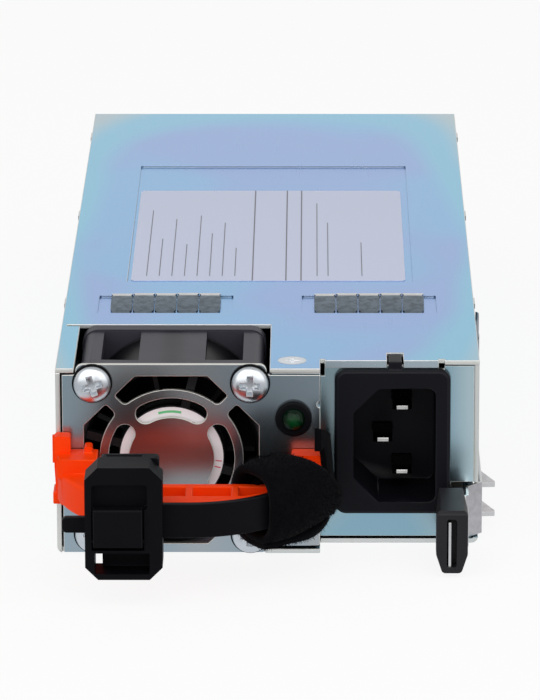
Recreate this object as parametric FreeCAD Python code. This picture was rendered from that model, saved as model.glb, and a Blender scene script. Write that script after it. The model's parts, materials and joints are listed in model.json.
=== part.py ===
import FreeCAD, Part
import math
import os

Vec = FreeCAD.Vector

# Driving dimensions in millimetres. While building, y is the depth behind the front plane
# of the fan guard, z is the height above the underside, and x is zero at mid width.
WIDTH = 87.5
HEIGHT = 40.0
LENGTH = 218.0
SHEET = 1.0
HALF = WIDTH / 2
WALL_IN = HALF - SHEET
COVER_Z = HEIGHT - SHEET
PANEL_TOP = 38.6
STEP_X = 10.8
INLET_PLANE = 6.9

FAN_X = -19.9
FAN_Z = 20.6
FAN_SIZE = 38.0
FAN_DEPTH = 31.4
FAN_PITCH = 32.5
FAN_FRONT = SHEET
FAN_BACK = FAN_FRONT + FAN_DEPTH
BORE_R = 17.6
MOUTH_R = 18.5
HUB_R = 11.0
BLADES = 7
FAN_SCREW_R = 1.45

GUARD_DISC_R = 8.9
GUARD_SLOT_R = 13.0
GUARD_SLOT_HALF_DEG = 29.0
GUARD_RING_R = 14.9
GUARD_APOTHEM = 18.05
GUARD_DROP = 0.35
GUARD_SPOKE = 2.6

INLET_PIN_X = 27.9
INLET_Z = 21.1
PIN_PITCH = 14.0
EARTH_OFFSET = 4.0
FLANGE_FRONT = 5.0

HANDLE_X = -16.2
HANDLE_R = 27.4
HANDLE_ARM_R = 22.2
HANDLE_CHORD = -14.5
HANDLE_LOW = 13.0
HANDLE_HIGH = 19.8

TIE_Y = -30.2
TIE_THICK = 1.4
TIE_LOW = 13.5
TIE_HIGH = 20.7

CLAMP_X0 = -36.5
CLAMP_X1 = -20.9
CLAMP_FRONT = -35.0
CLAMP_BACK = -27.9

LEAF_X = 44.3
LEAF_THICK = 0.6
LEAF_LOW = 1.4
LEAF_HIGH = 12.6
LEAF_PIVOT_Y = 68.0

BOARD_LOW = 6.0
BOARD_TOP = 7.6
BOARD_FRONT = 36.0
BOARD_HALF = 40.5
TONGUE_HALF = 29.0
TONGUE_END = LENGTH + 11.0

LABEL_X0, LABEL_X1 = -30.3, 29.4
LABEL_Y0, LABEL_Y1 = 68.0, 145.0
RECESS_HALF = 31.0
RECESS_Y0, RECESS_Y1 = 66.0, 167.0
RECESS_DEPTH = 0.4

GASKET_FINGERS = 5
GASKET_PITCH = 4.72
GASKET_GAP = 0.3
GASKET_LENGTH = GASKET_FINGERS * GASKET_PITCH
GASKET_Y0, GASKET_Y1 = 42.3, 54.2
GASKET_RISE = 1.2


# Plane helpers: two outline coordinates and a level become a point in space.
def xy(u, v, level):
    return Vec(u, v, level)


def xz(u, v, level):
    return Vec(u, level, v)


def yz(u, v, level):
    return Vec(level, u, v)


NORMAL = {xy: Vec(0, 0, 1), xz: Vec(0, 1, 0), yz: Vec(1, 0, 0)}


def outline(corners, plane, level):
    # A closed face from corners (u, v) or (u, v, radius): a radius rounds that corner.
    count = len(corners)
    runs = []
    for i in range(count):
        u, v = corners[i][:2]
        radius = corners[i][2] if len(corners[i]) > 2 else 0
        before = corners[i - 1]
        after = corners[(i + 1) % count]
        a = Vec(before[0] - u, before[1] - v, 0).normalize()
        b = Vec(after[0] - u, after[1] - v, 0).normalize()
        here = Vec(u, v, 0)
        if radius == 0:
            runs.append((here, None, here))
            continue
        half = a.getAngle(b) / 2
        reach = radius / math.tan(half)
        middle = (a + b).normalize()
        centre = here + middle * (radius / math.sin(half))
        runs.append((here + a * reach, centre - middle * radius, here + b * reach))
    edges = []
    for i in range(count):
        start, mid, end = runs[i]
        if mid is not None:
            points = [plane(p.x, p.y, level) for p in (start, mid, end)]
            edges.append(Part.Arc(*points).toShape())
        following = runs[(i + 1) % count][0]
        if (following - end).Length > 1e-6:
            edges.append(Part.LineSegment(plane(end.x, end.y, level),
                                          plane(following.x, following.y, level)).toShape())
    return Part.Face(Part.Wire(edges))


def prism(corners, plane, low, high):
    return outline(corners, plane, low).extrude(NORMAL[plane] * (high - low))


def box(x0, x1, y0, y1, z0, z1):
    return Part.makeBox(x1 - x0, y1 - y0, z1 - z0, Vec(x0, y0, z0))


def rounded(u0, u1, v0, v1, radius):
    return [(u0, v0, radius), (u1, v0, radius), (u1, v1, radius), (u0, v1, radius)]


def bevelled(u0, u1, v0, v1, cut):
    return [(u0 + cut, v0), (u1 - cut, v0), (u1, v0 + cut), (u1, v1 - cut),
            (u1 - cut, v1), (u0 + cut, v1), (u0, v1 - cut), (u0, v0 + cut)]


def rod_x(y, z, radius, x0, x1):
    return Part.makeCylinder(radius, x1 - x0, Vec(x0, y, z), Vec(1, 0, 0))


def rod_y(x, z, radius, y0, y1):
    return Part.makeCylinder(radius, y1 - y0, Vec(x, y0, z), Vec(0, 1, 0))


def rod_z(x, y, radius, z0, z1):
    return Part.makeCylinder(radius, z1 - z0, Vec(x, y, z0))


def ring_y(x, z, outer, inner, y0, y1):
    return rod_y(x, z, outer, y0, y1).cut(rod_y(x, z, inner, y0 - 1, y1 + 1))


def fuse(shapes):
    first = shapes[0]
    if len(shapes) == 1:
        return first
    return first.multiFuse(shapes[1:]).removeSplitter()


def strip(points, thickness, low, high):
    # A bent strip of sheet standing on edge: the path is its middle line seen from above.
    half = thickness / 2
    left, right = [], []
    for i, (x, y) in enumerate(points):
        here = Vec(x, y, 0)
        ends = points[max(i - 1, 0)], points[min(i + 1, len(points) - 1)]
        a = here - Vec(ends[0][0], ends[0][1], 0)
        b = Vec(ends[1][0], ends[1][1], 0) - here
        a = b if a.Length == 0 else a
        b = a if b.Length == 0 else b
        na = Vec(-a.y, a.x, 0).normalize()
        nb = Vec(-b.y, b.x, 0).normalize()
        miter = (na + nb).normalize()
        offset = miter * (half / miter.dot(na))
        left.append((x + offset.x, y + offset.y))
        right.append((x - offset.x, y - offset.y))
    return prism(left + right[::-1], xy, low, high)


saved = []


def save(name, shape):
    # The origin is under the middle of the tray, so depths move back by half the length.
    moved = shape.copy()
    moved.translate(Vec(0, -LENGTH / 2, 0))
    moved.exportStep("parts/%s.step" % name)
    saved.append((name, shape.Volume))


# Enclosure
LATCH_WINDOW = (64.0, 1.2, 13.2)
CLIP_SLOTS = ((20.8, 22.6), (11.6, 13.4))
CLIP_SLOT_Y = (2.2, 4.0)
LOCK_TABS = (54.0, 127.0, 200.0)
LOCK_TAB_HALF = 2.4
LOCK_TAB_DROP = 1.0
TAB_ROOM = 0.2
GUARD_RIGHT = -0.6
BEND_R = 1.4
BEND_INNER_R = BEND_R - SHEET
PAST = 1.0      # how far a cutting solid runs past the face that it opens


def chassis_tray():
    channel = [(-HALF, 0, BEND_R), (HALF, 0, BEND_R), (HALF, COVER_Z), (WALL_IN, COVER_Z),
               (WALL_IN, SHEET, BEND_INNER_R), (-WALL_IN, SHEET, BEND_INNER_R),
               (-WALL_IN, COVER_Z), (-HALF, COVER_Z)]
    tray = prism(channel, xz, 0, LENGTH)
    cuts = [box(STEP_X, HALF + PAST, -PAST, INLET_PLANE, -PAST, HEIGHT),
            box(-WALL_IN, GUARD_RIGHT, -PAST, SHEET, -PAST, SHEET + PAST)]
    window_end, window_low, window_high = LATCH_WINDOW
    cuts.append(box(WALL_IN - PAST, HALF + PAST, 0, window_end, window_low, window_high))
    for low, high in CLIP_SLOTS:
        cuts.append(box(-HALF - PAST, -WALL_IN + PAST, CLIP_SLOT_Y[0], CLIP_SLOT_Y[1], low, high))
    reach = LOCK_TAB_HALF + TAB_ROOM
    for side in (-1, 1):
        for y in LOCK_TABS:
            cuts.append(box(side * HALF - 2 * SHEET, side * HALF + 2 * SHEET, y - reach, y + reach,
                            COVER_Z - LOCK_TAB_DROP - TAB_ROOM, HEIGHT))
    for z in RIVET_Z:
        cuts.append(rod_x(LEAF_PIVOT_Y, z, RIVET_R, WALL_IN - PAST, HALF + PAST))
    return tray.cut(cuts)


def arc_slot(inner, outer, half_angle, heading):
    # A ring segment with round ends in the guard, pointing along heading.
    middle = (inner + outer) / 2
    cap = (outer - inner) / 2
    a0 = math.radians(heading - half_angle)
    a1 = math.radians(heading + half_angle)
    turn = cap / middle

    def at(radius, angle):
        return Vec(FAN_X + radius * math.cos(angle), -PAST, FAN_Z + radius * math.sin(angle))

    mid = (a0 + a1) / 2
    edges = [Part.Arc(at(inner, a0), at(inner, mid), at(inner, a1)),
             Part.Arc(at(inner, a1), at(middle, a1 + turn), at(outer, a1)),
             Part.Arc(at(outer, a1), at(outer, mid), at(outer, a0)),
             Part.Arc(at(outer, a0), at(middle, a0 - turn), at(inner, a0))]
    face = Part.Face(Part.Wire([edge.toShape() for edge in edges]))
    return face.extrude(Vec(0, SHEET + 2 * PAST, 0))


QUARTERS = (0, 90, 180, 270)
SPOKE_ROUND = 1.1
OUTER_ROUND = 0.6


def about_fan(shape, heading):
    # Turns a shape that was drawn at the origin to its heading round the fan's axis.
    shape.rotate(Vec(0, 0, 0), Vec(0, 1, 0), heading)
    shape.translate(Vec(FAN_X, 0, FAN_Z))
    return shape


def window_edges(window, outside):
    # The edges of a guard window that run through the sheet, beside the ring or on the outer side.
    middle = (GUARD_RING_R + GUARD_APOTHEM) / 2
    found = []
    for edge in window.Edges:
        place = edge.CenterOfMass
        far = math.hypot(place.x - FAN_X, place.z - FAN_Z) > middle
        if edge.BoundBox.YLength > SHEET and far == outside:
            found.append(edge)
    return found


def guard_openings():
    # Four slots round the disc, and outside the ring four windows between crossed spokes.
    slots = [arc_slot(GUARD_DISC_R, GUARD_SLOT_R, GUARD_SLOT_HALF_DEG, heading) for heading in QUARTERS]
    corner = GUARD_APOTHEM / math.cos(math.pi / 8)
    octagon = []
    for i in range(8):
        angle = math.pi / 8 + i * math.pi / 4
        octagon.append((FAN_X + corner * math.cos(angle), FAN_Z - GUARD_DROP + corner * math.sin(angle)))
    outer = prism(octagon, xz, -PAST, SHEET + PAST)
    bars = [rod_y(FAN_X, FAN_Z, GUARD_RING_R, -2 * PAST, SHEET + 2 * PAST)]
    for heading in (45, 135):
        bars.append(about_fan(box(-FAN_SIZE, FAN_SIZE, -2 * PAST, SHEET + 2 * PAST,
                                  -GUARD_SPOKE / 2, GUARD_SPOKE / 2), heading))
    for window in outer.cut(bars).Solids:
        window = window.makeFillet(SPOKE_ROUND, window_edges(window, False))
        slots.append(window.makeFillet(OUTER_ROUND, window_edges(window, True)))
    return slots


LED_X = 5.3
LED_Z = 29.4
LED_HOLE_R = 3.05
COVER_SCREW = (5.0, 5.9)
PANEL_LEFT = -42.4
PLATE_LOW = 1.7
PLATE_ROUND = 0.6
TAB_LEFT, TAB_RIGHT = -39.6, -0.2
TAB_TOP = 40.9
TAB_ROUND = 1.6
FLOOR_BEND_R = 0.9
SHELF_LEFT, SHELF_BACK = 0.8, 10.5
FAN_HOLE_R = 1.75
EDGE_NOTCHES = (32.3, 13.2)
EDGE_NOTCH_R = 0.7
COVER_SHANK_R = 1.4
fan_corners = [(FAN_X + i * FAN_PITCH / 2, FAN_Z + j * FAN_PITCH / 2) for i in (-1, 1) for j in (-1, 1)]


def front_panel():
    plate = prism([(PANEL_LEFT, 0), (GUARD_RIGHT, 0, PLATE_ROUND), (GUARD_RIGHT, PLATE_LOW),
                   (STEP_X, PLATE_LOW, PLATE_ROUND), (STEP_X, PANEL_TOP), (TAB_RIGHT, PANEL_TOP),
                   (TAB_RIGHT, TAB_TOP, TAB_ROUND), (TAB_LEFT, TAB_TOP, TAB_ROUND),
                   (TAB_LEFT, PANEL_TOP), (PANEL_LEFT, PANEL_TOP)], xz, 0, SHEET)
    bend = [e for e in plate.Edges if e.BoundBox.ZMax < 0.01 and e.BoundBox.YMax < 0.01
            and e.BoundBox.XLength > FAN_SIZE / 2]
    plate = plate.makeFillet(FLOOR_BEND_R, bend)
    side = box(STEP_X - SHEET, STEP_X, SHEET, INLET_PLANE + SHEET, PLATE_LOW, PANEL_TOP)
    shelf = box(SHELF_LEFT, STEP_X, SHEET, SHELF_BACK, COVER_Z - SHEET, COVER_Z)
    shelf = shelf.cut(box(STEP_X - SHEET, STEP_X + PAST, INLET_PLANE, SHELF_BACK + PAST, 0, HEIGHT))
    panel = fuse([plate, side, shelf])
    cuts = guard_openings()
    for x, z in fan_corners:
        cuts.append(rod_y(x, z, FAN_HOLE_R, -PAST, SHEET + PAST))
    cuts.append(rod_y(LED_X, LED_Z, LED_HOLE_R, -PAST, SHEET + PAST))
    cuts.append(rod_z(COVER_SCREW[0], COVER_SCREW[1], COVER_SHANK_R, COVER_Z - 3 * SHEET, HEIGHT))
    for z in EDGE_NOTCHES:
        cuts.append(rod_y(STEP_X, z, EDGE_NOTCH_R, -PAST, SHEET))
    return panel.cut(cuts)


INLET_CUT = (15.8, 36.3, 8.1, 36.0)
INLET_CUT_R = 1.0
INLET_PANEL_LOW = 1.1
INLET_SIDE_BACK = 17.0
LATCH_GATE = (35.3, 13.4)
GATE_ROOM = 0.4
CORNER_RELIEF = (0.9, 36.4)
LIP_NOTCH = (35.3, 36.5, 37.9)


def inlet_panel():
    back = INLET_PLANE + SHEET
    plate = box(STEP_X, WALL_IN, INLET_PLANE, back, INLET_PANEL_LOW, PANEL_TOP)
    side = box(WALL_IN - SHEET, WALL_IN, back, INLET_SIDE_BACK, LATCH_GATE[1] + GATE_ROOM, PANEL_TOP)
    x0, x1, z0, z1 = INLET_CUT
    hole = prism(rounded(x0, x1, z0, z1, INLET_CUT_R), xz, INLET_PLANE - PAST, back + PAST)
    gate = box(LATCH_GATE[0], WALL_IN + PAST, INLET_PLANE - PAST, back + PAST, 0, LATCH_GATE[1])
    relief = box(STEP_X - PAST, STEP_X + CORNER_RELIEF[0], INLET_PLANE - PAST, back + PAST,
                 CORNER_RELIEF[1], HEIGHT)
    nick = box(LIP_NOTCH[0], LIP_NOTCH[1], INLET_PLANE - PAST, back + PAST, LIP_NOTCH[2], HEIGHT)
    return fuse([plate, side]).cut([hole, gate, relief, nick])


VENT_PITCH = 5.6
VENT_R = 2.35
VENT_LOW = 16.0
VENT_ROWS, VENT_COLUMNS = 4, 13
REAR_CORNER_R = 0.5
TONGUE_SLOT = (TONGUE_HALF + 1.0, 4.6, 9.2)


def hexagon(u, v, radius, first):
    corners = []
    for i in range(6):
        angle = math.radians(first) + i * math.pi / 3
        corners.append((u + radius * math.cos(angle), v + radius * math.sin(angle)))
    return corners


def rear_panel():
    panel = prism([(-WALL_IN, SHEET, REAR_CORNER_R), (WALL_IN, SHEET, REAR_CORNER_R),
                   (WALL_IN, COVER_Z), (-WALL_IN, COVER_Z)], xz, LENGTH - SHEET, LENGTH)
    front, back = LENGTH - SHEET - PAST, LENGTH + PAST
    half, low, high = TONGUE_SLOT
    cuts = [box(-half, half, front, back, low, high)]
    for row in range(VENT_ROWS):
        z = VENT_LOW + row * VENT_PITCH * math.cos(math.pi / 6)
        shift = (row % 2) * VENT_PITCH / 2 - VENT_PITCH / 4
        for column in range(VENT_COLUMNS):
            x = (column - VENT_COLUMNS // 2) * VENT_PITCH + shift
            cuts.append(prism(hexagon(x, z, VENT_R, 30), xz, front, back))
    return panel.cut(cuts)


FAN_NOTCH = (-39.9, 0.4, 32.8)
NOTCH_SLIT = (-42.6, 31.5)
GASKET_X = (-22.2, 21.3)
GASKET_BAY_HALF = 14.4
GASKET_BAY_FRONT, GASKET_BAY_BACK = GASKET_Y0 - 0.8, GASKET_Y1 + 1.0
SIDE_GASKET_Z = 24.8
COVER_FRONT = INLET_PLANE - 0.9
SNAP_NOTCH = (24.6, 28.0, 11.6)
LIP_LOW = 38.3
SKIRT = (36.0, LENGTH - 2.0, 33.0)
SKIRT_THICK = 0.8
SKIRT_GAP = 0.1
TAB_PROUD = 0.35
RECESS_ROUND = 0.5
COVER_SCREW_R = (1.5, 2.8)


def top_cover():
    left, right, back = FAN_NOTCH
    snap_x0, snap_x1, snap_back = SNAP_NOTCH
    relief_x = STEP_X + CORNER_RELIEF[0]
    nick_x0, nick_x1 = LIP_NOTCH[:2]
    front, inner = COVER_FRONT, COVER_FRONT + SHEET
    plate = prism([(-HALF, 0), (left, 0), (left, NOTCH_SLIT[1]), (NOTCH_SLIT[0], NOTCH_SLIT[1]),
                   (NOTCH_SLIT[0], back), (right, back), (right, 0), (STEP_X, 0), (STEP_X, inner),
                   (relief_x, inner), (relief_x, front), (snap_x0, front), (snap_x0, snap_back),
                   (snap_x1, snap_back), (snap_x1, front), (nick_x0, front), (nick_x0, inner),
                   (nick_x1, inner), (nick_x1, front), (HALF, front), (HALF, LENGTH), (-HALF, LENGTH)],
                  xy, COVER_Z, HEIGHT)
    pieces = [plate]
    for x0, x1 in ((relief_x, snap_x0), (snap_x1, nick_x0)):
        pieces.append(box(x0, x1, front, INLET_PLANE - SKIRT_GAP, LIP_LOW, COVER_Z))
    skirt_front, skirt_back, skirt_low = SKIRT
    for side in (-1, 1):
        outer = WALL_IN - SKIRT_GAP
        x0, x1 = sorted((side * (outer - SKIRT_THICK), side * outer))
        pieces.append(box(x0, x1, skirt_front, skirt_back, skirt_low, COVER_Z))
        for y in LOCK_TABS:
            x0, x1 = sorted((side * (WALL_IN - SHEET / 2), side * (HALF + TAB_PROUD)))
            pieces.append(box(x0, x1, y - LOCK_TAB_HALF, y + LOCK_TAB_HALF,
                              COVER_Z - LOCK_TAB_DROP, COVER_Z + TAB_ROOM))
    cover = fuse(pieces)
    floor = HEIGHT - RECESS_DEPTH
    cuts = [prism(rounded(-RECESS_HALF, RECESS_HALF, RECESS_Y0, RECESS_Y1, RECESS_ROUND), xy,
                  floor, HEIGHT + PAST)]
    for x in GASKET_X:
        cuts.append(prism(rounded(x - GASKET_BAY_HALF, x + GASKET_BAY_HALF, GASKET_BAY_FRONT,
                                  GASKET_BAY_BACK, RECESS_ROUND), xy, floor, HEIGHT + PAST))
    cuts.append(countersink())
    return cover.cut(cuts)


def countersink():
    x, y = COVER_SCREW
    return Part.makeCone(COVER_SCREW_R[0], COVER_SCREW_R[1], SHEET, Vec(x, y, COVER_Z))


COVER_SCREW_END = 35.0
COVER_CROSS = (1.6, 0.35, 0.6)


def cover_screw():
    x, y = COVER_SCREW
    screw = fuse([countersink(), rod_z(x, y, COVER_SHANK_R, COVER_SCREW_END, COVER_Z)])
    arm, half, deep = COVER_CROSS
    slots = [box(x - arm, x + arm, y - half, y + half, HEIGHT - deep, HEIGHT + PAST),
             box(x - half, x + half, y - arm, y + arm, HEIGHT - deep, HEIGHT + PAST)]
    return screw.cut(slots)


GASKET_SHEET = 0.2
GASKET_CREST = 0.55
GASKET_HEM = (0.9, 0.5)


def spring_fingers():
    # A clip strip of arched fingers lying on z zero, along x, with its front edge at y zero.
    depth = GASKET_Y1 - GASKET_Y0
    crest = depth * GASKET_CREST

    def arch(level):
        top = Vec(0, crest, GASKET_RISE + level)
        return Part.Arc(Vec(0, 0, level), top, Vec(0, depth, level)).toShape()

    ends = []
    for y in (depth, 0):
        ends.append(Part.LineSegment(Vec(0, y, 0), Vec(0, y, GASKET_SHEET)).toShape())
    wall = Part.Face(Part.Wire([arch(0), ends[0], arch(GASKET_SHEET), ends[1]]))
    pieces = []
    for i in range(GASKET_FINGERS):
        finger = wall.extrude(Vec(GASKET_PITCH - GASKET_GAP, 0, 0))
        finger.translate(Vec(i * GASKET_PITCH + GASKET_GAP / 2 - GASKET_LENGTH / 2, 0, 0))
        pieces.append(finger)
    half = GASKET_LENGTH / 2
    pieces.append(box(-half, half, depth - GASKET_HEM[0], depth + GASKET_HEM[1], 0, GASKET_SHEET))
    return fuse(pieces)


LABEL_ROUND = 1.2
LABEL_THICK = 0.15


def rating_label():
    floor = HEIGHT - RECESS_DEPTH
    return prism(rounded(LABEL_X0, LABEL_X1, LABEL_Y0, LABEL_Y1, LABEL_ROUND), xy, floor, floor + LABEL_THICK)


# Fan
FRAME_ROUND, RIM_ROUND = 2.6, 3.4
RIM_PROUD, RIM_DEPTH = 0.4, 3.6
MOUTH_DEPTH = 2.4
POCKET_SPAN = (6.9, 14.7)
POCKET_FRONT, POCKET_BACK = 7.6, 28.6
BARREL_WALL = 1.1
SCREW_BORE = 8.0
BASE_FRONT, BASE_BACK = 1.5, 3.4
TUBE_R, TUBE_BORE_R, TUBE_BACK = 4.0, 3.0, 17.0
STRUT_HEADINGS = (15, 105, 195, 285)
STRUT_HALF = 0.9


def fan_frame():
    # A square duct with a raised rear rim, a flared bore, side pockets and the motor base on struts.
    half = FAN_SIZE / 2
    rim = half + RIM_PROUD
    body = prism(rounded(FAN_X - half, FAN_X + half, FAN_Z - half, FAN_Z + half, FRAME_ROUND), xz,
                 FAN_FRONT, FAN_BACK)
    flange = prism(rounded(FAN_X - rim, FAN_X + rim, FAN_Z - rim, FAN_Z + rim, RIM_ROUND), xz,
                   FAN_BACK - RIM_DEPTH, FAN_BACK)
    body = fuse([body, flange])
    cuts = [rod_y(FAN_X, FAN_Z, BORE_R, FAN_FRONT - PAST, FAN_BACK + PAST)]
    for front, r0, r1 in ((FAN_FRONT, MOUTH_R, BORE_R), (FAN_BACK - MOUTH_DEPTH, BORE_R, MOUTH_R)):
        cuts.append(Part.makeCone(r0, r1, MOUTH_DEPTH, Vec(FAN_X, front, FAN_Z), Vec(0, 1, 0)))
    barrel = rod_y(FAN_X, FAN_Z, BORE_R + BARREL_WALL, FAN_FRONT, FAN_BACK)
    near, far = POCKET_SPAN
    for side in QUARTERS:
        for low, high in ((-far, -near), (near, far)):
            pocket = box(FAN_X + low, FAN_X + high, POCKET_FRONT, POCKET_BACK,
                         FAN_Z + HUB_R, FAN_Z + FAN_SIZE)
            pocket = pocket.cut(barrel)
            pocket.rotate(Vec(FAN_X, 0, FAN_Z), Vec(0, 1, 0), side)
            cuts.append(pocket)
    for x, z in fan_corners:
        cuts.append(rod_y(x, z, FAN_SCREW_R, FAN_FRONT - PAST, FAN_FRONT + SCREW_BORE))
    body = body.cut(cuts)
    base = [rod_y(FAN_X, FAN_Z, HUB_R, BASE_FRONT, BASE_BACK),
            ring_y(FAN_X, FAN_Z, TUBE_R, TUBE_BORE_R, BASE_BACK - 0.1, TUBE_BACK)]
    for heading in STRUT_HEADINGS:
        base.append(about_fan(box(HUB_R - 1.5, MOUTH_R + 0.3, BASE_FRONT + 0.1, BASE_BACK + 0.2,
                                  -STRUT_HALF, STRUT_HALF), heading))
    return fuse([body] + base)


ROTOR_FRONT, ROTOR_BACK = 6.0, 28.0
CUP_WALL = 1.2
SHAFT_R = 1.0
SHAFT_FRONT = 5.0
BOSS_R, BOSS_LENGTH = 2.6, 5.0
BLADE_STATIONS = 5
BLADE_SWEEP = 48.0
BLADE_BEND = 1.25
BLADE_INSET = 0.6
BLADE_EDGE, BLADE_SWELL = 0.55, 0.35
BLADE_ROOT_R, BLADE_TIP_R = HUB_R - 0.3, BORE_R - 0.5


def fan_blade(start):
    # Sections from front to back turn about the shaft, so the blade is twisted like the real one.
    wires = []
    for i in range(BLADE_STATIONS):
        part = i / (BLADE_STATIONS - 1)
        y = ROTOR_FRONT + BLADE_INSET + part * (ROTOR_BACK - ROTOR_FRONT - 2 * BLADE_INSET)
        turn = math.radians(start + BLADE_SWEEP * part ** BLADE_BEND)
        thick = BLADE_EDGE + BLADE_SWELL * math.sin(math.pi * part)
        points = []
        for radius, side in ((BLADE_ROOT_R, -1), (BLADE_TIP_R, -1), (BLADE_TIP_R, 1), (BLADE_ROOT_R, 1)):
            angle = turn + side * thick / radius
            points.append(Vec(FAN_X + radius * math.cos(angle), y, FAN_Z + radius * math.sin(angle)))
        wires.append(Part.makePolygon(points + points[:1]))
    return Part.makeLoft(wires, True)


def fan_rotor():
    end = ROTOR_BACK - CUP_WALL
    cup = rod_y(FAN_X, FAN_Z, HUB_R, ROTOR_FRONT, ROTOR_BACK)
    hollow = rod_y(FAN_X, FAN_Z, HUB_R - CUP_WALL, ROTOR_FRONT - PAST, end)
    boss = rod_y(FAN_X, FAN_Z, BOSS_R, ROTOR_BACK - BOSS_LENGTH, end)
    bore = rod_y(FAN_X, FAN_Z, SHAFT_R, ROTOR_FRONT, end)
    blades = [fan_blade(360.0 * i / BLADES) for i in range(BLADES)]
    return fuse([cup.cut(hollow)] + blades + [boss]).cut(bore)


STATOR_FRONT, STATOR_BACK = 9.0, 15.0
STATOR_CORE_R = 5.2
SHOE_R, SHOE_INNER_R = 8.3, 7.3
TOOTH_HALF, SHOE_GAP_HALF = 1.3, 1.0
COIL_IN, COIL_OUT = 5.3, 6.7
COIL_HALF, COIL_OVER = 2.5, 1.1


def fan_stator():
    core = [ring_y(FAN_X, FAN_Z, STATOR_CORE_R, TUBE_R, STATOR_FRONT, STATOR_BACK)]
    shoes = ring_y(FAN_X, FAN_Z, SHOE_R, SHOE_INNER_R, STATOR_FRONT, STATOR_BACK)
    gaps = []
    for heading in QUARTERS:
        core.append(about_fan(box(STATOR_CORE_R - 0.4, SHOE_INNER_R + 0.3, STATOR_FRONT, STATOR_BACK,
                                  -TOOTH_HALF, TOOTH_HALF), heading))
        gaps.append(about_fan(box(SHOE_INNER_R - PAST, SHOE_R + PAST, STATOR_FRONT - PAST,
                                  STATOR_BACK + PAST, -SHOE_GAP_HALF, SHOE_GAP_HALF), heading + 45))
    return fuse(core + [shoes.cut(gaps)])


def fan_coils():
    coils = []
    front, back = STATOR_FRONT - COIL_OVER, STATOR_BACK + COIL_OVER
    core = rod_y(FAN_X, FAN_Z, STATOR_CORE_R, front - PAST, back + PAST)
    for heading in QUARTERS:
        coil = box(COIL_IN, COIL_OUT, front, back, -COIL_HALF, COIL_HALF)
        tooth = box(COIL_IN - PAST, COIL_OUT + PAST, STATOR_FRONT, STATOR_BACK, -TOOTH_HALF, TOOTH_HALF)
        coils.append(about_fan(coil.cut(tooth), heading).cut(core))
    return Part.makeCompound(coils)


SCREW_HEAD_R, SCREW_RISE, SCREW_RIM = 3.8, 2.3, 0.8
SCREW_SHOULDER = (2.45, 1.9)
CROSS_ARM, CROSS_HALF, CROSS_FLOOR = 2.0, 0.5, 1.0
SCREW_END = FAN_FRONT + 7.0
WASHER, WASHER_R = 0.4, 4.15


def pan_head_screw(x, z, seat):
    # The head is a revolved pan with a crossed recess, in front of the seat plane.
    def at(radius, rise):
        return Vec(x + radius, seat - rise, z)

    edges = [Part.LineSegment(at(0, 0), at(SCREW_HEAD_R, 0)),
             Part.LineSegment(at(SCREW_HEAD_R, 0), at(SCREW_HEAD_R, SCREW_RIM)),
             Part.Arc(at(SCREW_HEAD_R, SCREW_RIM), at(*SCREW_SHOULDER), at(0, SCREW_RISE)),
             Part.LineSegment(at(0, SCREW_RISE), at(0, 0))]
    profile = Part.Face(Part.Wire([edge.toShape() for edge in edges]))
    head = profile.revolve(Vec(x, seat, z), Vec(0, 1, 0), 360)
    front, floor = seat - SCREW_RISE - PAST, seat - CROSS_FLOOR
    arms = [box(x - CROSS_ARM, x + CROSS_ARM, front, floor, z - CROSS_HALF, z + CROSS_HALF),
            box(x - CROSS_HALF, x + CROSS_HALF, front, floor, z - CROSS_ARM, z + CROSS_ARM)]
    return fuse([head.cut(arms), rod_y(x, z, FAN_SCREW_R, seat - WASHER / 2, SCREW_END)])


# Mains inlet and LED
FLANGE = (13.8, 37.8, 6.9, 38.1)
FLANGE_ROUND = 2.4
FLANGE_EASE = 0.5
HOUSING_ROOM = 0.2
RECESS = (17.7, 34.7, 9.6, 34.1)
RECESS_CUT = 5.2
RECESS_SOFT, RECESS_TIGHT = 1.6, 0.8
RECESS_BACK = 21.0
BODY_BACK = 23.5
SNAP = (24.9, 27.7, 11.3)
SNAP_TOP = PANEL_TOP + 1.2


def inlet_body():
    x0, x1, z0, z1 = FLANGE
    flange = prism(rounded(x0, x1, z0, z1, FLANGE_ROUND), xz, FLANGE_FRONT, INLET_PLANE)
    rim = [e for e in flange.Edges if e.BoundBox.YMax < FLANGE_FRONT + 0.01]
    flange = flange.makeChamfer(FLANGE_EASE, rim)
    x0, x1, z0, z1 = INLET_CUT
    gap = HOUSING_ROOM
    housing = prism(rounded(x0 + gap, x1 - gap, z0 + gap, z1 - gap, INLET_CUT_R + gap), xz,
                    INLET_PLANE, BODY_BACK)
    x0, x1, snap_back = SNAP
    snap = box(x0, x1, FLANGE_FRONT + FLANGE_EASE, snap_back, FLANGE[3] - FLANGE_EASE, SNAP_TOP)
    snap = snap.cut(box(x0 - PAST, x1 + PAST, INLET_PLANE, snap_back + PAST, 0, PANEL_TOP))
    x0, x1, z0, z1 = RECESS
    cut = RECESS_CUT
    mouth = [(x0, z0 + cut, RECESS_TIGHT), (x0 + cut, z0, RECESS_TIGHT), (x1, z0, RECESS_SOFT),
             (x1, z1, RECESS_SOFT), (x0 + cut, z1, RECESS_TIGHT), (x0, z1 - cut, RECESS_TIGHT)]
    cuts = [prism(mouth, xz, FLANGE_FRONT - PAST, RECESS_BACK)]
    for x, z in inlet_pin_places:
        cuts.append(pin_blade(x, z))
    return fuse([flange, housing, snap]).cut(cuts)


inlet_pin_places = [(INLET_PIN_X, INLET_Z - PIN_PITCH / 2), (INLET_PIN_X, INLET_Z + PIN_PITCH / 2),
                    (INLET_PIN_X - EARTH_OFFSET, INLET_Z)]
PIN_HALF_W, PIN_HALF_T = 2.0, 1.0
PIN_TIP, PIN_SHOULDER, PIN_FOOT, PIN_END = 11.6, 13.6, 24.5, 31.0
PIN_TIP_HALF_W, PIN_TIP_HALF_T = 1.2, 0.42
TAG_HALF_W, TAG_HALF_T = 2.4, 0.4


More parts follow.
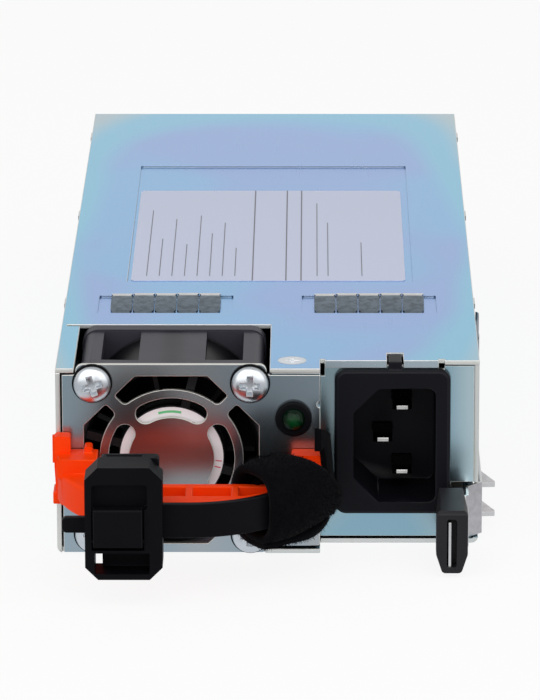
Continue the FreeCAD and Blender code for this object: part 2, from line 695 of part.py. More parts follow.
def pin_blade(x, z):
    # A flat blade with a tapered tip in front and a thin solder tag behind.
    blade = box(x - PIN_HALF_W, x + PIN_HALF_W, PIN_SHOULDER, PIN_FOOT, z - PIN_HALF_T, z + PIN_HALF_T)
    sections = []
    for y, half_w, half_t in ((PIN_TIP, PIN_TIP_HALF_W, PIN_TIP_HALF_T),
                              (PIN_SHOULDER, PIN_HALF_W, PIN_HALF_T)):
        corners = [Vec(x + i * half_w, y, z + j * half_t) for i, j in ((-1, -1), (1, -1), (1, 1), (-1, 1))]
        sections.append(Part.makePolygon(corners + corners[:1]))
    tip = Part.makeLoft(sections, True)
    tag = box(x - TAG_HALF_W, x + TAG_HALF_W, PIN_FOOT, PIN_END, z - TAG_HALF_T, z + TAG_HALF_T)
    return fuse([blade, tip, tag])


BEZEL_R, BEZEL_PROUD, BEZEL_EASE = 3.8, 1.3, 0.6
SLEEVE_BACK = 3.2
LENS_R, LENS_SHOULDER, LENS_BACK = 2.4, -0.9, 5.0
LENS_RIM_R, LENS_RIM = 2.9, 1.0
LAP = 0.2       # how far joined solids of one piece run into each other


def led_bezel():
    ring = ring_y(LED_X, LED_Z, BEZEL_R, LENS_R, -BEZEL_PROUD, 0)
    front = [e for e in ring.Edges if e.BoundBox.YMax < LAP - BEZEL_PROUD and e.Curve.Radius > LED_HOLE_R]
    ring = ring.makeFillet(BEZEL_EASE, front)
    return fuse([ring, ring_y(LED_X, LED_Z, LED_HOLE_R, LENS_R, -LAP, SLEEVE_BACK)])


def led_lens():
    body = rod_y(LED_X, LED_Z, LENS_R, LENS_SHOULDER, LENS_BACK)
    dome = Part.makeSphere(LENS_R, Vec(LED_X, LENS_SHOULDER, LED_Z))
    rim = ring_y(LED_X, LED_Z, LENS_RIM_R, LENS_R - LAP, SLEEVE_BACK, SLEEVE_BACK + LENS_RIM)
    return fuse([body, dome, rim])


# Handle, ratchet tie, cord clamp and hook-and-loop strap
HANDLE_BACK = -0.3
HANDLE_EASE = 0.9
WIDE = 80.0     # cutting solids that run right across the unit
RIB_PITCH = 9.3
RIB = 1.5
RIB_SHIFT = 5.0
POCKET_Y0, POCKET_Y1 = -22.4, -16.4
POCKET_FLOOR = 1.6
BOW_RIM = 2.2
ROOT_X, ROOT_TOP, ROOT_FRONT = -35.0, 22.8, -3.4
ROOT_ROUND = 0.8
ARM_FRONT = -8.0
TOWER = (-37.8, -36.1, 24.2)
FRONT_TAB = (-40.6, 20.0, 26.4)
TAB_EASE = 0.6
RIGHT_ROOT = (4.9, -5.0)
PRONG_FRONT, PRONG_BACK = -1.6, 4.4
PRONG_NEAR, PRONG_FAR = 0.05, 0.65
PRONGS = ((20.2, 23.0), (11.2, 13.8))
BRIDGES = ((20.2, 26.0), (11.2, 13.8))
BRIDGE_IN = 1.4
RIGHT_PRONG = (14.0, 22.0)


def half_disc(radius, low, high):
    disc = rod_z(HANDLE_X, 0, radius, low, high)
    return disc.cut(box(-WIDE, WIDE, HANDLE_BACK, WIDE, low - PAST, high + PAST))


def handle_bow():
    # A half disc with a finger gap behind its chord, and pockets between ribs in its top.
    opening = rod_z(HANDLE_X, 0, HANDLE_ARM_R, 0, HEIGHT)
    opening = opening.cut(box(-WIDE, WIDE, -WIDE, HANDLE_CHORD, -PAST, HEIGHT + PAST))
    bow = half_disc(HANDLE_R, HANDLE_LOW, HANDLE_HIGH).cut(opening)
    outer_edges = [e for e in bow.Edges if isinstance(e.Curve, Part.Circle)
                   and e.Curve.Radius > HANDLE_ARM_R + PAST and e.BoundBox.ZLength < LAP]
    bow = bow.makeFillet(HANDLE_EASE, outer_edges)
    keep = half_disc(HANDLE_R - BOW_RIM, 0, HEIGHT)
    half = (RIB_PITCH - RIB) / 2
    pockets = []
    for i in range(-2, 2):
        x = HANDLE_X + RIB_SHIFT + i * RIB_PITCH
        pocket = box(x - half, x + half, POCKET_Y0, POCKET_Y1, HANDLE_LOW + POCKET_FLOOR, HANDLE_HIGH + PAST)
        pockets.append(pocket.common(keep))
    return bow.cut(pockets)


def pull_handle():
    tower_x0, tower_x1, tower_top = TOWER
    tab_x, tab_low, tab_top = FRONT_TAB
    left_root = prism([(-HALF + LAP, HANDLE_LOW - TAB_EASE, ROOT_ROUND), (ROOT_X, HANDLE_LOW, ROOT_ROUND),
                       (ROOT_X, ROOT_TOP), (tower_x1, ROOT_TOP), (tower_x1, tower_top, TAB_EASE),
                       (tower_x0, tower_top, TAB_EASE), (tower_x0, ROOT_TOP), (tab_x, ROOT_TOP),
                       (tab_x, tab_top, TAB_EASE), (-HALF - LAP, tab_top, TAB_EASE), (-HALF - LAP, tab_low)],
                      xz, ROOT_FRONT, HANDLE_BACK)
    left_shelf = prism([(-HALF + 2 * LAP, HANDLE_HIGH - PAST), (ROOT_X, HANDLE_HIGH - PAST),
                        (ROOT_X, ROOT_TOP, TAB_EASE), (-HALF + 2 * LAP, ROOT_TOP, TAB_EASE)],
                       xz, ARM_FRONT, HANDLE_BACK)
    left_arm = half_disc(HANDLE_R, HANDLE_LOW, ROOT_TOP)
    left_arm = left_arm.common(box(-WIDE, ROOT_X, ARM_FRONT, 0, 0, HEIGHT))
    right_x, right_front = RIGHT_ROOT
    right_root = prism([(right_x, HANDLE_LOW, ROOT_ROUND), (STEP_X, HANDLE_LOW, ROOT_ROUND),
                        (STEP_X + PRONG_FAR, ROOT_TOP, TAB_EASE), (right_x, ROOT_TOP, TAB_EASE)],
                       xz, right_front, HANDLE_BACK)
    pieces = [handle_bow(), left_root, left_shelf, left_arm, right_root]
    for low, high in PRONGS:
        pieces.append(box(-HALF - PRONG_FAR, -HALF - PRONG_NEAR, PRONG_FRONT, PRONG_BACK, low, high))
    for low, high in BRIDGES:
        pieces.append(box(-HALF - PRONG_FAR, -HALF + BRIDGE_IN, PRONG_FRONT, HANDLE_BACK, low, high))
    for low, high in CLIP_SLOTS:
        pieces.append(box(-HALF - PRONG_FAR / 2, -WALL_IN - LAP, CLIP_SLOT_Y[0] + LAP, CLIP_SLOT_Y[1] - LAP,
                          low + LAP, high - LAP))
    pieces.append(box(STEP_X + PRONG_NEAR, STEP_X + PRONG_FAR, PRONG_FRONT, PRONG_BACK,
                      RIGHT_PRONG[0], RIGHT_PRONG[1]))
    return fuse(pieces)


TIE_BEND_R = 24.27
TIE_BEND_DEG = 53.0
TAIL_X = -41.3
TAIL_LOW, TAIL_HIGH = 14.6, 17.9
TAPER_X0, TAPER_X1 = -35.6, -34.6
TAIL_ROUND, TAPER_ROUND = 1.0, 0.6


def strap_tie():
    # A straight run with a narrow end, then a bend that follows the handle's bow.
    front, back = TIE_Y - TIE_THICK / 2, TIE_Y + TIE_THICK / 2
    run = prism([(TAIL_X, TAIL_LOW, TAIL_ROUND), (TAPER_X0, TAIL_LOW, TAPER_ROUND),
                 (TAPER_X1, TIE_LOW, TAPER_ROUND), (HANDLE_X, TIE_LOW), (HANDLE_X, TIE_HIGH),
                 (TAPER_X1, TIE_HIGH, TAPER_ROUND), (TAPER_X0, TAIL_HIGH, TAPER_ROUND),
                 (TAIL_X, TAIL_HIGH, TAIL_ROUND)], xz, front, back)
    section = outline([(front, TIE_LOW), (back, TIE_LOW), (back, TIE_HIGH), (front, TIE_HIGH)], yz, HANDLE_X)
    bend = section.revolve(Vec(HANDLE_X, TIE_Y + TIE_BEND_R, 0), Vec(0, 0, 1), TIE_BEND_DEG)
    return fuse([run, bend])


CLAMP_LOW, CLAMP_HIGH = 6.0, 29.6
CLAMP_CORNER = 2.6
CLAMP_HEAD = (3.0, 0.8, 23.0, -25.0)
CLAMP_EASE = 0.8
CLAMP_LIP = (4.2, -27.0, -26.0, 0.8)
CHANNEL_HALF = 1.0
RUNNING_GAP = 0.35
TONGUE_X0, TONGUE_X1 = -34.8, -24.9
TONGUE_LOW, TONGUE_HIGH = 12.8, 21.2
TONGUE_FRONT = -36.4
TONGUE_POCKET = 2.5
FOOT_ROOM = 0.6
FINGER_REST = (1.0, 0.5, 26.0)
WINDOW = (-34.6, -23.5, 7.2, 11.6)
WINDOW_BACK = -29.5
WINDOW_THROUGH = 1.4
TONGUE_PIN_Y = CLAMP_FRONT + 0.8
TONGUE_PIN_Z = TONGUE_LOW + 1.1
TONGUE_PIN_R = 0.5
TONGUE_PIN_END = 1.2
PIN_ROOM = 0.05


def cord_clamp():
    x0, x1 = CLAMP_X0, CLAMP_X1
    body = prism(bevelled(x0, x1, CLAMP_LOW, CLAMP_HIGH, CLAMP_CORNER), xz, CLAMP_FRONT, CLAMP_BACK)
    left, right, head_low, head_back = CLAMP_HEAD
    head = prism(rounded(x0 + left, x1 - right, head_low, CLAMP_HIGH, CLAMP_EASE), xz,
                 CLAMP_BACK - LAP, head_back)
    gap = RUNNING_GAP
    front, pocket_back = CLAMP_FRONT - PAST, CLAMP_FRONT + TONGUE_POCKET
    channel = box(x0 - PAST, x1 + PAST, TIE_Y - CHANNEL_HALF, TIE_Y + CHANNEL_HALF,
                  TIE_LOW - gap, TIE_HIGH + gap)
    pocket = box(TONGUE_X0 - gap, TONGUE_X1 + gap, front, pocket_back,
                 TONGUE_LOW - FOOT_ROOM, TONGUE_HIGH + gap)
    beside, under, rest_top = FINGER_REST
    finger_rest = prism(rounded(TONGUE_X0 - gap, TONGUE_X1 + beside, TONGUE_HIGH - under, rest_top,
                                CLAMP_EASE), xz, front, pocket_back)
    wx0, wx1, wz0, wz1 = WINDOW
    window = box(wx0, wx1, front, WINDOW_BACK, wz0, wz1)
    through = box(wx0, wx0 + WINDOW_THROUGH, front, CLAMP_BACK + PAST, wz0, wz1)
    inset, lip_front, lip_back, deep = CLAMP_LIP
    lip = box(x0 + inset, x1 - inset, lip_front, lip_back, CLAMP_HIGH - deep, CLAMP_HIGH + PAST)
    return fuse([body, head]).cut([channel, pocket, finger_rest, window, through, lip, tongue_pin()])


def clamp_tongue():
    # The plate is thicker at its foot, where the pin runs through it.
    side = [(TONGUE_FRONT, TONGUE_LOW + 0.4, 0.3), (CLAMP_FRONT - 0.1, TONGUE_LOW, 0.3),
            (CLAMP_FRONT + 1.9, TONGUE_LOW + 0.2, 0.4), (CLAMP_FRONT + 1.9, TONGUE_LOW + 2.6),
            (CLAMP_FRONT + 1.2, TONGUE_LOW + 3.6), (CLAMP_FRONT + 1.2, TONGUE_HIGH, 0.3),
            (TONGUE_FRONT, TONGUE_HIGH, 0.5)]
    plate = prism(side, yz, TONGUE_X0, TONGUE_X1)
    hole = rod_x(TONGUE_PIN_Y, TONGUE_PIN_Z, TONGUE_PIN_R + PIN_ROOM, TONGUE_X0 - PAST, TONGUE_X1 + PAST)
    return plate.cut(hole)


def tongue_pin():
    end = TONGUE_PIN_END
    return rod_x(TONGUE_PIN_Y, TONGUE_PIN_Z, TONGUE_PIN_R, TONGUE_X0 - end, TONGUE_X1 + end)


LOOP_START, LOOP_END = 31.0, 73.0
LOOP_INNER, LOOP_OUTER = 15.2, 33.4
LOOP_LOW, LOOP_HIGH = 8.6, 27.8
LOOP_ROUND, LOOP_HOLLOW_ROUND = 7.5, 5.9
STRAP_THICK = 1.7
WRAP_OUTER = 31.3
WRAP_ROUND, WRAP_HOLLOW_ROUND = 2.2, 0.5
TOUCH = 0.02
STRAP_TURN = (24.0, 28.0, 0.6, 0.4)
STRAP_TAIL = ((12.2, 5.5), (12.2, -3.0), (13.6, -9.8))
TAIL_THICK = 1.3
STRAP_TAIL_LOW, STRAP_TAIL_HIGH = 9.6, 28.6


def loop_section(r0, r1, z0, z1, corner):
    # A rounded outline in the radial plane at the start of the loop, turned into place.
    face = outline(rounded(r0, r1, z0, z1, corner), xz, 0)
    face.rotate(Vec(0, 0, 0), Vec(0, 0, 1), LOOP_START - 90)
    face.translate(Vec(HANDLE_X, 0, 0))
    return face.revolve(Vec(HANDLE_X, 0, 0), Vec(0, 0, 1), LOOP_END - LOOP_START)


def hook_loop_strap():
    # The band goes once tightly round handle and tie, turns, and goes loosely round them again.
    t = STRAP_THICK
    outer = loop_section(LOOP_INNER, LOOP_OUTER, LOOP_LOW, LOOP_HIGH, LOOP_ROUND)
    hollow = loop_section(LOOP_INNER + t, LOOP_OUTER - t, LOOP_LOW + t, LOOP_HIGH - t, LOOP_HOLLOW_ROUND)
    wrap = loop_section(HANDLE_ARM_R - t - TOUCH, WRAP_OUTER, HANDLE_LOW - t, TIE_HIGH + t + TOUCH,
                        WRAP_ROUND)
    inside = loop_section(HANDLE_ARM_R - TOUCH, WRAP_OUTER - t, HANDLE_LOW - TOUCH, TIE_HIGH + TOUCH,
                          WRAP_HOLLOW_ROUND)
    r0, r1, inset, corner = STRAP_TURN
    turn = loop_section(r0, r1, TIE_HIGH + inset, LOOP_HIGH - inset, corner)
    tail = strip(STRAP_TAIL, TAIL_THICK, STRAP_TAIL_LOW, STRAP_TAIL_HIGH)
    ring = outer.cut(hollow)
    return fuse([ring, wrap, turn, tail.cut(outer)]).cut([inside, pull_handle(), strap_tie()])


# Side latch
RIVET_Z = (4.6, 9.4)
RIVET_R, RIVET_ROOM = 1.2, 0.1
RIVET_HEAD = (2.2, 1.4, 0.8)
RIVET_FOOT = (2.0, 0.7)
RIVET_SEAT = 0.25
LEAF_FACE = LEAF_X + LEAF_THICK / 2
LEAF_PATH = ((LEAF_X, 72.0), (LEAF_X, 9.6), (41.3, 6.6), (41.3, 0.6), (37.3, -3.4), (37.3, -15.6))
LEAF_NECK = 0.8
BARB_Z = (2.8, 9.2)
BARB_THICK, BARB_PROUD, BARB_ROUND = 1.0, 2.9, 0.3
BARB_BACK, BARB_TIP, BARB_NOSE, BARB_FRONT = 25.2, 17.4, 16.4, 16.2
GRIP_X0, GRIP_X1 = 34.5, 41.0
GRIP_REAR = (35.4, 40.3)
GRIP_FRONT, GRIP_WAIST = -16.0, -12.5
GRIP_LOW, GRIP_WIDE, GRIP_TOP = 1.0, 5.0, 14.3
GRIP_FOOT = 1.3
GRIP_SLOT = (36.7, 38.7, 2.3, 12.6, -13.0)
GRIP_EASE = 0.7


def latch_spring():
    leaf = strip(LEAF_PATH, LEAF_THICK, LEAF_LOW, LEAF_HIGH)
    tip = LEAF_FACE + BARB_PROUD
    barbs = []
    for z in BARB_Z:
        barbs.append(prism([(LEAF_FACE - LAP, BARB_BACK), (LEAF_FACE, BARB_BACK), (tip, BARB_TIP, BARB_ROUND),
                            (tip, BARB_NOSE, BARB_ROUND), (LEAF_FACE, BARB_FRONT),
                            (LEAF_FACE - LAP, BARB_FRONT)], xy, z, z + BARB_THICK))
    cuts = [rod_x(LEAF_PIVOT_Y, z, RIVET_R + RIVET_ROOM, WALL_IN, HALF + 2 * PAST) for z in RIVET_Z]
    for low, high in ((0, LEAF_LOW + LEAF_NECK), (LEAF_HIGH - LEAF_NECK, HEIGHT)):
        cuts.append(box(0, HALF, GRIP_FRONT - PAST, -LAP, low, high))
    return fuse([leaf] + barbs).cut(cuts)


def latch_grip():
    # A finger grip on the end of the leaf, narrower behind, with a slot in front that shows the leaf.
    face = [(GRIP_X0 + GRIP_FOOT, GRIP_LOW, 0.9), (GRIP_X1 - GRIP_FOOT, GRIP_LOW, 0.9),
            (GRIP_X1, GRIP_WIDE, 1.5), (GRIP_X1, GRIP_TOP, 1.0), (GRIP_X0, GRIP_TOP, 1.0),
            (GRIP_X0, GRIP_WIDE, 1.5)]
    body = prism(face, xz, GRIP_FRONT, 0)
    plan = prism([(GRIP_X0, GRIP_FRONT), (GRIP_X1, GRIP_FRONT), (GRIP_X1, GRIP_WAIST), (GRIP_REAR[1], 0),
                  (GRIP_REAR[0], 0), (GRIP_X0, GRIP_WAIST)], xy, 0, HEIGHT)
    ease = prism([(GRIP_FRONT, GRIP_TOP - GRIP_EASE), (GRIP_FRONT + GRIP_EASE, GRIP_TOP),
                  (GRIP_FRONT, GRIP_TOP)], yz, 0, HALF)
    x0, x1, z0, z1, floor = GRIP_SLOT
    slot = prism(rounded(x0, x1, z0, z1, 0.5), xz, GRIP_FRONT - PAST, floor)
    return body.common(plan).cut([ease, slot, latch_spring()])


def latch_rivets():
    rivets = []
    foot_r, foot_thick = RIVET_FOOT
    r0, r1, rise = RIVET_HEAD
    for z in RIVET_Z:
        shank = rod_x(LEAF_PIVOT_Y, z, RIVET_R, WALL_IN - foot_thick + LAP, LEAF_FACE + rise / 2)
        foot = rod_x(LEAF_PIVOT_Y, z, foot_r, WALL_IN - foot_thick, WALL_IN)
        head = Part.makeCone(r0, r1, rise, Vec(LEAF_FACE + RIVET_SEAT, LEAF_PIVOT_Y, z), Vec(1, 0, 0))
        rivets.append(fuse([shank, foot, head]))
    return Part.makeCompound(rivets)


# Board and what stands on it
STANDOFFS = [(-36.0, 40.0), (36.0, 40.0), (-36.0, 106.0), (36.0, 106.0), (-36.0, 210.0), (36.0, 210.0)]
STANDOFF_R, STANDOFF_FLOOR = 2.9, 3.0
BOARD_END = LENGTH - 2.0
TONGUE_ROUND = 0.8
BOARD_HOLE_R, BOARD_SCREW_R = 1.5, 1.25
BOARD_HEAD_R, BOARD_HEAD = 2.6, 1.8
INSULATOR = (-WALL_IN + 1.0, WALL_IN - 1.2, 34.0, LENGTH - 3.0)
INSULATOR_THICK, INSULATOR_HOLE_R = 0.4, 3.4


def circuit_board():
    board = prism([(-BOARD_HALF, BOARD_FRONT), (BOARD_HALF, BOARD_FRONT), (BOARD_HALF, BOARD_END),
                   (TONGUE_HALF, BOARD_END), (TONGUE_HALF, TONGUE_END, TONGUE_ROUND),
                   (-TONGUE_HALF, TONGUE_END, TONGUE_ROUND), (-TONGUE_HALF, BOARD_END),
                   (-BOARD_HALF, BOARD_END)], xy, BOARD_LOW, BOARD_TOP)
    return board.cut([rod_z(x, y, BOARD_HOLE_R, 0, HEIGHT) for x, y in STANDOFFS])


def board_standoffs():
    posts = []
    for x, y in STANDOFFS:
        post = prism(hexagon(x, y, STANDOFF_R, 0), xy, SHEET, BOARD_LOW)
        posts.append(post.cut(rod_z(x, y, BOARD_SCREW_R, STANDOFF_FLOOR, HEIGHT)))
    return Part.makeCompound(posts)


def board_screws():
    screws = []
    for x, y in STANDOFFS:
        screws.append(fuse([rod_z(x, y, BOARD_HEAD_R, BOARD_TOP, BOARD_TOP + BOARD_HEAD),
                            rod_z(x, y, BOARD_SCREW_R, STANDOFF_FLOOR + LAP, BOARD_TOP)]))
    return Part.makeCompound(screws)


def insulator_sheet():
    x0, x1, y0, y1 = INSULATOR
    sheet = box(x0, x1, y0, y1, SHEET, SHEET + INSULATOR_THICK)
    return sheet.cut([rod_z(x, y, INSULATOR_HOLE_R, 0, HEIGHT) for x, y in STANDOFFS])


POWER_PADS = ((-27.6, -19.8), (-18.6, -10.8), (10.8, 18.6), (19.8, 27.6))
SIGNAL_PITCH, SIGNAL_HALF = 2.5, 0.8
PAD_THICK = 0.1
PAD_FRONT, PAD_BACK = LENGTH + 1.5, TONGUE_END - 0.8


def edge_contacts():
    # Bare contact pads on both faces of the rear tongue: wide power pads outside, signal pads inside.
    spans = list(POWER_PADS)
    for i in range(-3, 4):
        spans.append((i * SIGNAL_PITCH - SIGNAL_HALF, i * SIGNAL_PITCH + SIGNAL_HALF))
    pads = []
    for x0, x1 in spans:
        for low in (BOARD_TOP, BOARD_LOW - PAD_THICK):
            pads.append(box(x0, x1, PAD_FRONT, PAD_BACK, low, low + PAD_THICK))
    return Part.makeCompound(pads)


BULK_PLACES = ((-25.0, 66.0), (-25.0, 94.0))
BULK_R, BULK_TOP = 12.5, 37.0
BULK_GROOVE = (12.0, 12.8, 13.6, 0.7)
BULK_EASE, BULK_RIM, BULK_DISH = 1.0, 1.8, 0.4


def bulk_capacitors():
    r, top = BULK_R, BULK_TOP
    low, mid, high, deep = BULK_GROOVE
    profile = [(0, BOARD_TOP), (r, BOARD_TOP), (r, low), (r - deep, mid), (r, high), (r, top - BULK_EASE),
               (r - BULK_EASE, top), (r - BULK_RIM, top), (r - BULK_RIM, top - BULK_DISH),
               (0, top - BULK_DISH)]
    cans = []
    for x, y in BULK_PLACES:
        can = outline(profile, xz, 0).revolve(Vec(0, 0, 0), Vec(0, 0, 1), 360)
        can.translate(Vec(x, y, 0))
        cans.append(can)
    return Part.makeCompound(cans)


CHOKE_X = 24.0
CHOKE_Y = (52.0, 74.0)
WINDING_R = 11.8
CHOKE_Z = BOARD_TOP + WINDING_R
CHOKE_CORE = (5.4, 10.4, 8.0)
CHOKE_COIL = (4.0, WINDING_R, 10.8)
CHOKE_BEVEL = 0.9
COIL_STARTS, COIL_DEG = (55, 235), 110


def choke_ring(section, y, start, degrees):
    inner, outer, width = section
    face = outline(bevelled(inner, outer, y - width / 2, y + width / 2, CHOKE_BEVEL), xy, CHOKE_Z)
    face.translate(Vec(CHOKE_X, 0, 0))
    face.rotate(Vec(CHOKE_X, 0, CHOKE_Z), Vec(0, 1, 0), start)
    return face.revolve(Vec(CHOKE_X, 0, CHOKE_Z), Vec(0, 1, 0), degrees)


def line_chokes():
    return Part.makeCompound([choke_ring(CHOKE_CORE, y, 0, 360) for y in CHOKE_Y])


def choke_windings():
    coils = []
    for y in CHOKE_Y:
        core = choke_ring(CHOKE_CORE, y, 0, 360)
        for start in COIL_STARTS:
            coils.append(choke_ring(CHOKE_COIL, y, start, COIL_DEG).cut(core))
    return Part.makeCompound(coils)


LINE_CAP_Y = (47.0, 77.0)
LINE_CAP_X = (0.0, 9.0)
LINE_CAP_HALF, LINE_CAP_TOP, LINE_CAP_EASE = 9.0, 24.0, 0.8


def line_capacitors():
    x0, x1 = LINE_CAP_X
    blocks = []
    for y in LINE_CAP_Y:
        block = prism(rounded(x0, x1, y - LINE_CAP_HALF, y + LINE_CAP_HALF, LINE_CAP_EASE), xy,
                      BOARD_TOP, LINE_CAP_TOP)
        top = [e for e in block.Edges if e.BoundBox.ZMin > LINE_CAP_TOP - LAP]
        blocks.append(block.makeFillet(LINE_CAP_EASE, top))
    return Part.makeCompound(blocks)


FUSE_X, FUSE_Z = 37.6, 12.0
FUSE_R, FUSE_CAP_R = 2.4, 2.7
FUSE_FRONT, FUSE_BACK, FUSE_CAP = 44.0, 64.0, 4.0
FUSE_LEG = 0.4
FUSE_LEG_IN = 1.9


def fuse_tube():
    pieces = [rod_y(FUSE_X, FUSE_Z, FUSE_R, FUSE_FRONT + FUSE_CAP, FUSE_BACK - FUSE_CAP)]
    for y in (FUSE_FRONT, FUSE_BACK - FUSE_CAP):
        pieces.append(rod_y(FUSE_X, FUSE_Z, FUSE_CAP_R, y, y + FUSE_CAP))
    for y in (FUSE_FRONT + FUSE_LEG_IN, FUSE_BACK - FUSE_LEG_IN):
        pieces.append(box(FUSE_X - FUSE_LEG, FUSE_X + FUSE_LEG, y - FUSE_LEG, y + FUSE_LEG,
                          BOARD_TOP, FUSE_Z - PAST))
    return fuse(pieces)


BRIDGE = (19.0, 39.5, 27.5)
BRIDGE_FRONT, BRIDGE_BACK = 88.0, 92.0
BRIDGE_CORNER, BRIDGE_STAND = 2.5, 3.0
BRIDGE_HOLE = (29.2, 20.0)
TAB_HOLE_R = 1.7
BRIDGE_LEGS = (21.0, 26.0, 32.5, 37.5)
BRIDGE_LEG = (0.5, 0.4)


def bridge_rectifier():
    x0, x1, top = BRIDGE
    low = BOARD_TOP + BRIDGE_STAND
    block = prism([(x0, low), (x1, low), (x1, top - BRIDGE_CORNER), (x1 - BRIDGE_CORNER, top), (x0, top)],
                  xz, BRIDGE_FRONT, BRIDGE_BACK)
    hole_x, hole_z = BRIDGE_HOLE
    block = block.cut(rod_y(hole_x, hole_z, TAB_HOLE_R, BRIDGE_FRONT - PAST, BRIDGE_BACK + PAST))
    y = (BRIDGE_FRONT + BRIDGE_BACK) / 2
    half_w, half_t = BRIDGE_LEG
    legs = [box(x - half_w, x + half_w, y - half_t, y + half_t, BOARD_TOP, low + PAST) for x in BRIDGE_LEGS]
    return fuse([block] + legs)


SINK_PLATE, FIN_THICK, FIN_STAND = 3.0, 1.4, 2.0
PRIMARY_SINK = (6.0, 40.0, 92.0, 102.0, 35.0, 7)
OUTPUT_SINK = (-38.0, 30.0, 176.0, 186.0, 34.0, 12)


def finned_plate(x0, x1, y0, y1, top, fins):
    pieces = [box(x0, x1, y0, y0 + SINK_PLATE, BOARD_TOP, top)]
    pitch = (x1 - x0 - FIN_THICK) / (fins - 1)
    for i in range(fins):
        x = x0 + i * pitch
        pieces.append(box(x, x + FIN_THICK, y0 + SINK_PLATE, y1, BOARD_TOP + FIN_STAND, top))
    return fuse(pieces)


CASE_HALF, CASE_THICK, CASE_TOP = 5.0, 3.0, 24.5
CASE_STAND = 8.0
METAL_TAB, METAL_TAB_TOP, METAL_TAB_HOLE_Z = 1.4, 30.0, 27.0
CASE_LEGS = (-2.5, 0, 2.5)
CASE_LEG = (0.4, 0.3)
PRIMARY_CASES = (12.0,)
OUTPUT_CASES = (-32.0, -18.0, 10.0, 24.0)


def power_transistors():
    # Each case stands against the front face of its heatsink.
    places = [(x, PRIMARY_SINK[2]) for x in PRIMARY_CASES] + [(x, OUTPUT_SINK[2]) for x in OUTPUT_CASES]
    low = BOARD_TOP + CASE_STAND
    half_w, half_t = CASE_LEG
    cases = []
    for x, back in places:
        front = back - METAL_TAB - CASE_THICK
        pieces = [box(x - CASE_HALF, x + CASE_HALF, back - METAL_TAB, back, low, METAL_TAB_TOP),
                  box(x - CASE_HALF, x + CASE_HALF, front, back - METAL_TAB, low, CASE_TOP)]
        y = front + CASE_THICK / 2
        for d in CASE_LEGS:
            pieces.append(box(x + d - half_w, x + d + half_w, y - half_t, y + half_t, BOARD_TOP, low + PAST))
        cases.append(fuse(pieces).cut(rod_y(x, METAL_TAB_HOLE_Z, TAB_HOLE_R, front, back + PAST)))
    return Part.makeCompound(cases)


TOROID_BEVEL = 2.2
PFC_CHOKE = (21.0, 120.0, 5.0, 15.0, 16.0)
OUTPUT_CHOKE = (23.4, 158.0, 4.0, 11.5, 13.0)


def toroid(x, y, inner, outer, width):
    face = outline(bevelled(inner, outer, BOARD_TOP, BOARD_TOP + width, TOROID_BEVEL), xz, 0)
    shape = face.revolve(Vec(0, 0, 0), Vec(0, 0, 1), 360)
    shape.translate(Vec(x, y, 0))
    return shape


TRANSFORMER = (-6.0, 146.0)
CORE_HALF, CORE_HALF_DEPTH = 17.0, 7.0
CORE_LOW, CORE_TOP, CORE_EASE = BOARD_TOP + 2.0, 36.0, 0.8
CORE_WINDOW = (6.0, 12.0, BOARD_TOP + 7.5, 30.5)
COIL_HALF_W, COIL_HALF_D, COIL_ROUND = 11.6, 12.5, 5.0
COIL_ROOM = 0.3
FOOT_HALF, FOOT_OUT, FOOT_HALF_D, FOOT_TALL = 10.0, 10.0, 2.2, 8.0


def transformer_core():
    x, y = TRANSFORMER
    near, far, low, high = CORE_WINDOW
    depth = CORE_HALF_DEPTH
    frame = prism(rounded(x - CORE_HALF, x + CORE_HALF, CORE_LOW, CORE_TOP, CORE_EASE), xz,
                  y - depth, y + depth)
    windows = []
    for a, b in ((-far, -near), (near, far)):
        windows.append(box(x + a, x + b, y - depth - PAST, y + depth + PAST, low, high))
    return frame.cut(windows)


def transformer_winding():
    x, y = TRANSFORMER
    near, _, low, high = CORE_WINDOW
    coil = prism(rounded(x - COIL_HALF_W, x + COIL_HALF_W, y - COIL_HALF_D, y + COIL_HALF_D, COIL_ROUND), xy,
                 low + COIL_ROOM, high - COIL_ROOM)
    leg = box(x - near, x + near, y - CORE_HALF_DEPTH, y + CORE_HALF_DEPTH, 0, HEIGHT)
    pieces = [coil.cut(leg)]
    for side in (-1, 1):
        foot = y + side * FOOT_OUT
        pieces.append(box(x - FOOT_HALF, x + FOOT_HALF, foot - FOOT_HALF_D, foot + FOOT_HALF_D,
                          BOARD_TOP, BOARD_TOP + FOOT_TALL))
    return fuse(pieces)


OUTPUT_CAPS, OUTPUT_CAP_X, OUTPUT_CAP_Y, OUTPUT_CAP_PITCH = 7, -33.0, 200.0, 10.4
OUTPUT_CAP_R, OUTPUT_CAP_TOP, OUTPUT_CAP_EASE = 4.4, 22.0, 0.6


def output_capacitors():
    cans = []
    for i in range(OUTPUT_CAPS):
        x = OUTPUT_CAP_X + i * OUTPUT_CAP_PITCH
        can = rod_z(x, OUTPUT_CAP_Y, OUTPUT_CAP_R, BOARD_TOP, OUTPUT_CAP_TOP)
        top = [e for e in can.Edges if e.BoundBox.ZMin > OUTPUT_CAP_TOP - LAP]
        cans.append(can.makeChamfer(OUTPUT_CAP_EASE, top))
    return Part.makeCompound(cans)


CARD = (-39.4, -37.8, 112.0, 168.0, 31.0)
CHIP_Y = (120.0, 136.0, 152.0)
CHIP_SIZE = (1.6, 9.0)
CHIP_LOW, CHIP_HIGH = 15.0, 22.0


def control_card():
    x0, x1, y0, y1, top = CARD
    pieces = [box(x0, x1, y0, y1, BOARD_TOP, top)]
    for y in CHIP_Y:
        pieces.append(box(x1, x1 + CHIP_SIZE[0], y, y + CHIP_SIZE[1], CHIP_LOW, CHIP_HIGH))
    return fuse(pieces)


HEADER = (-8.0, 0.0, 37.0, 42.0, 14.0)
HEADER_WALL, HEADER_FLOOR = 1.0, 10.0


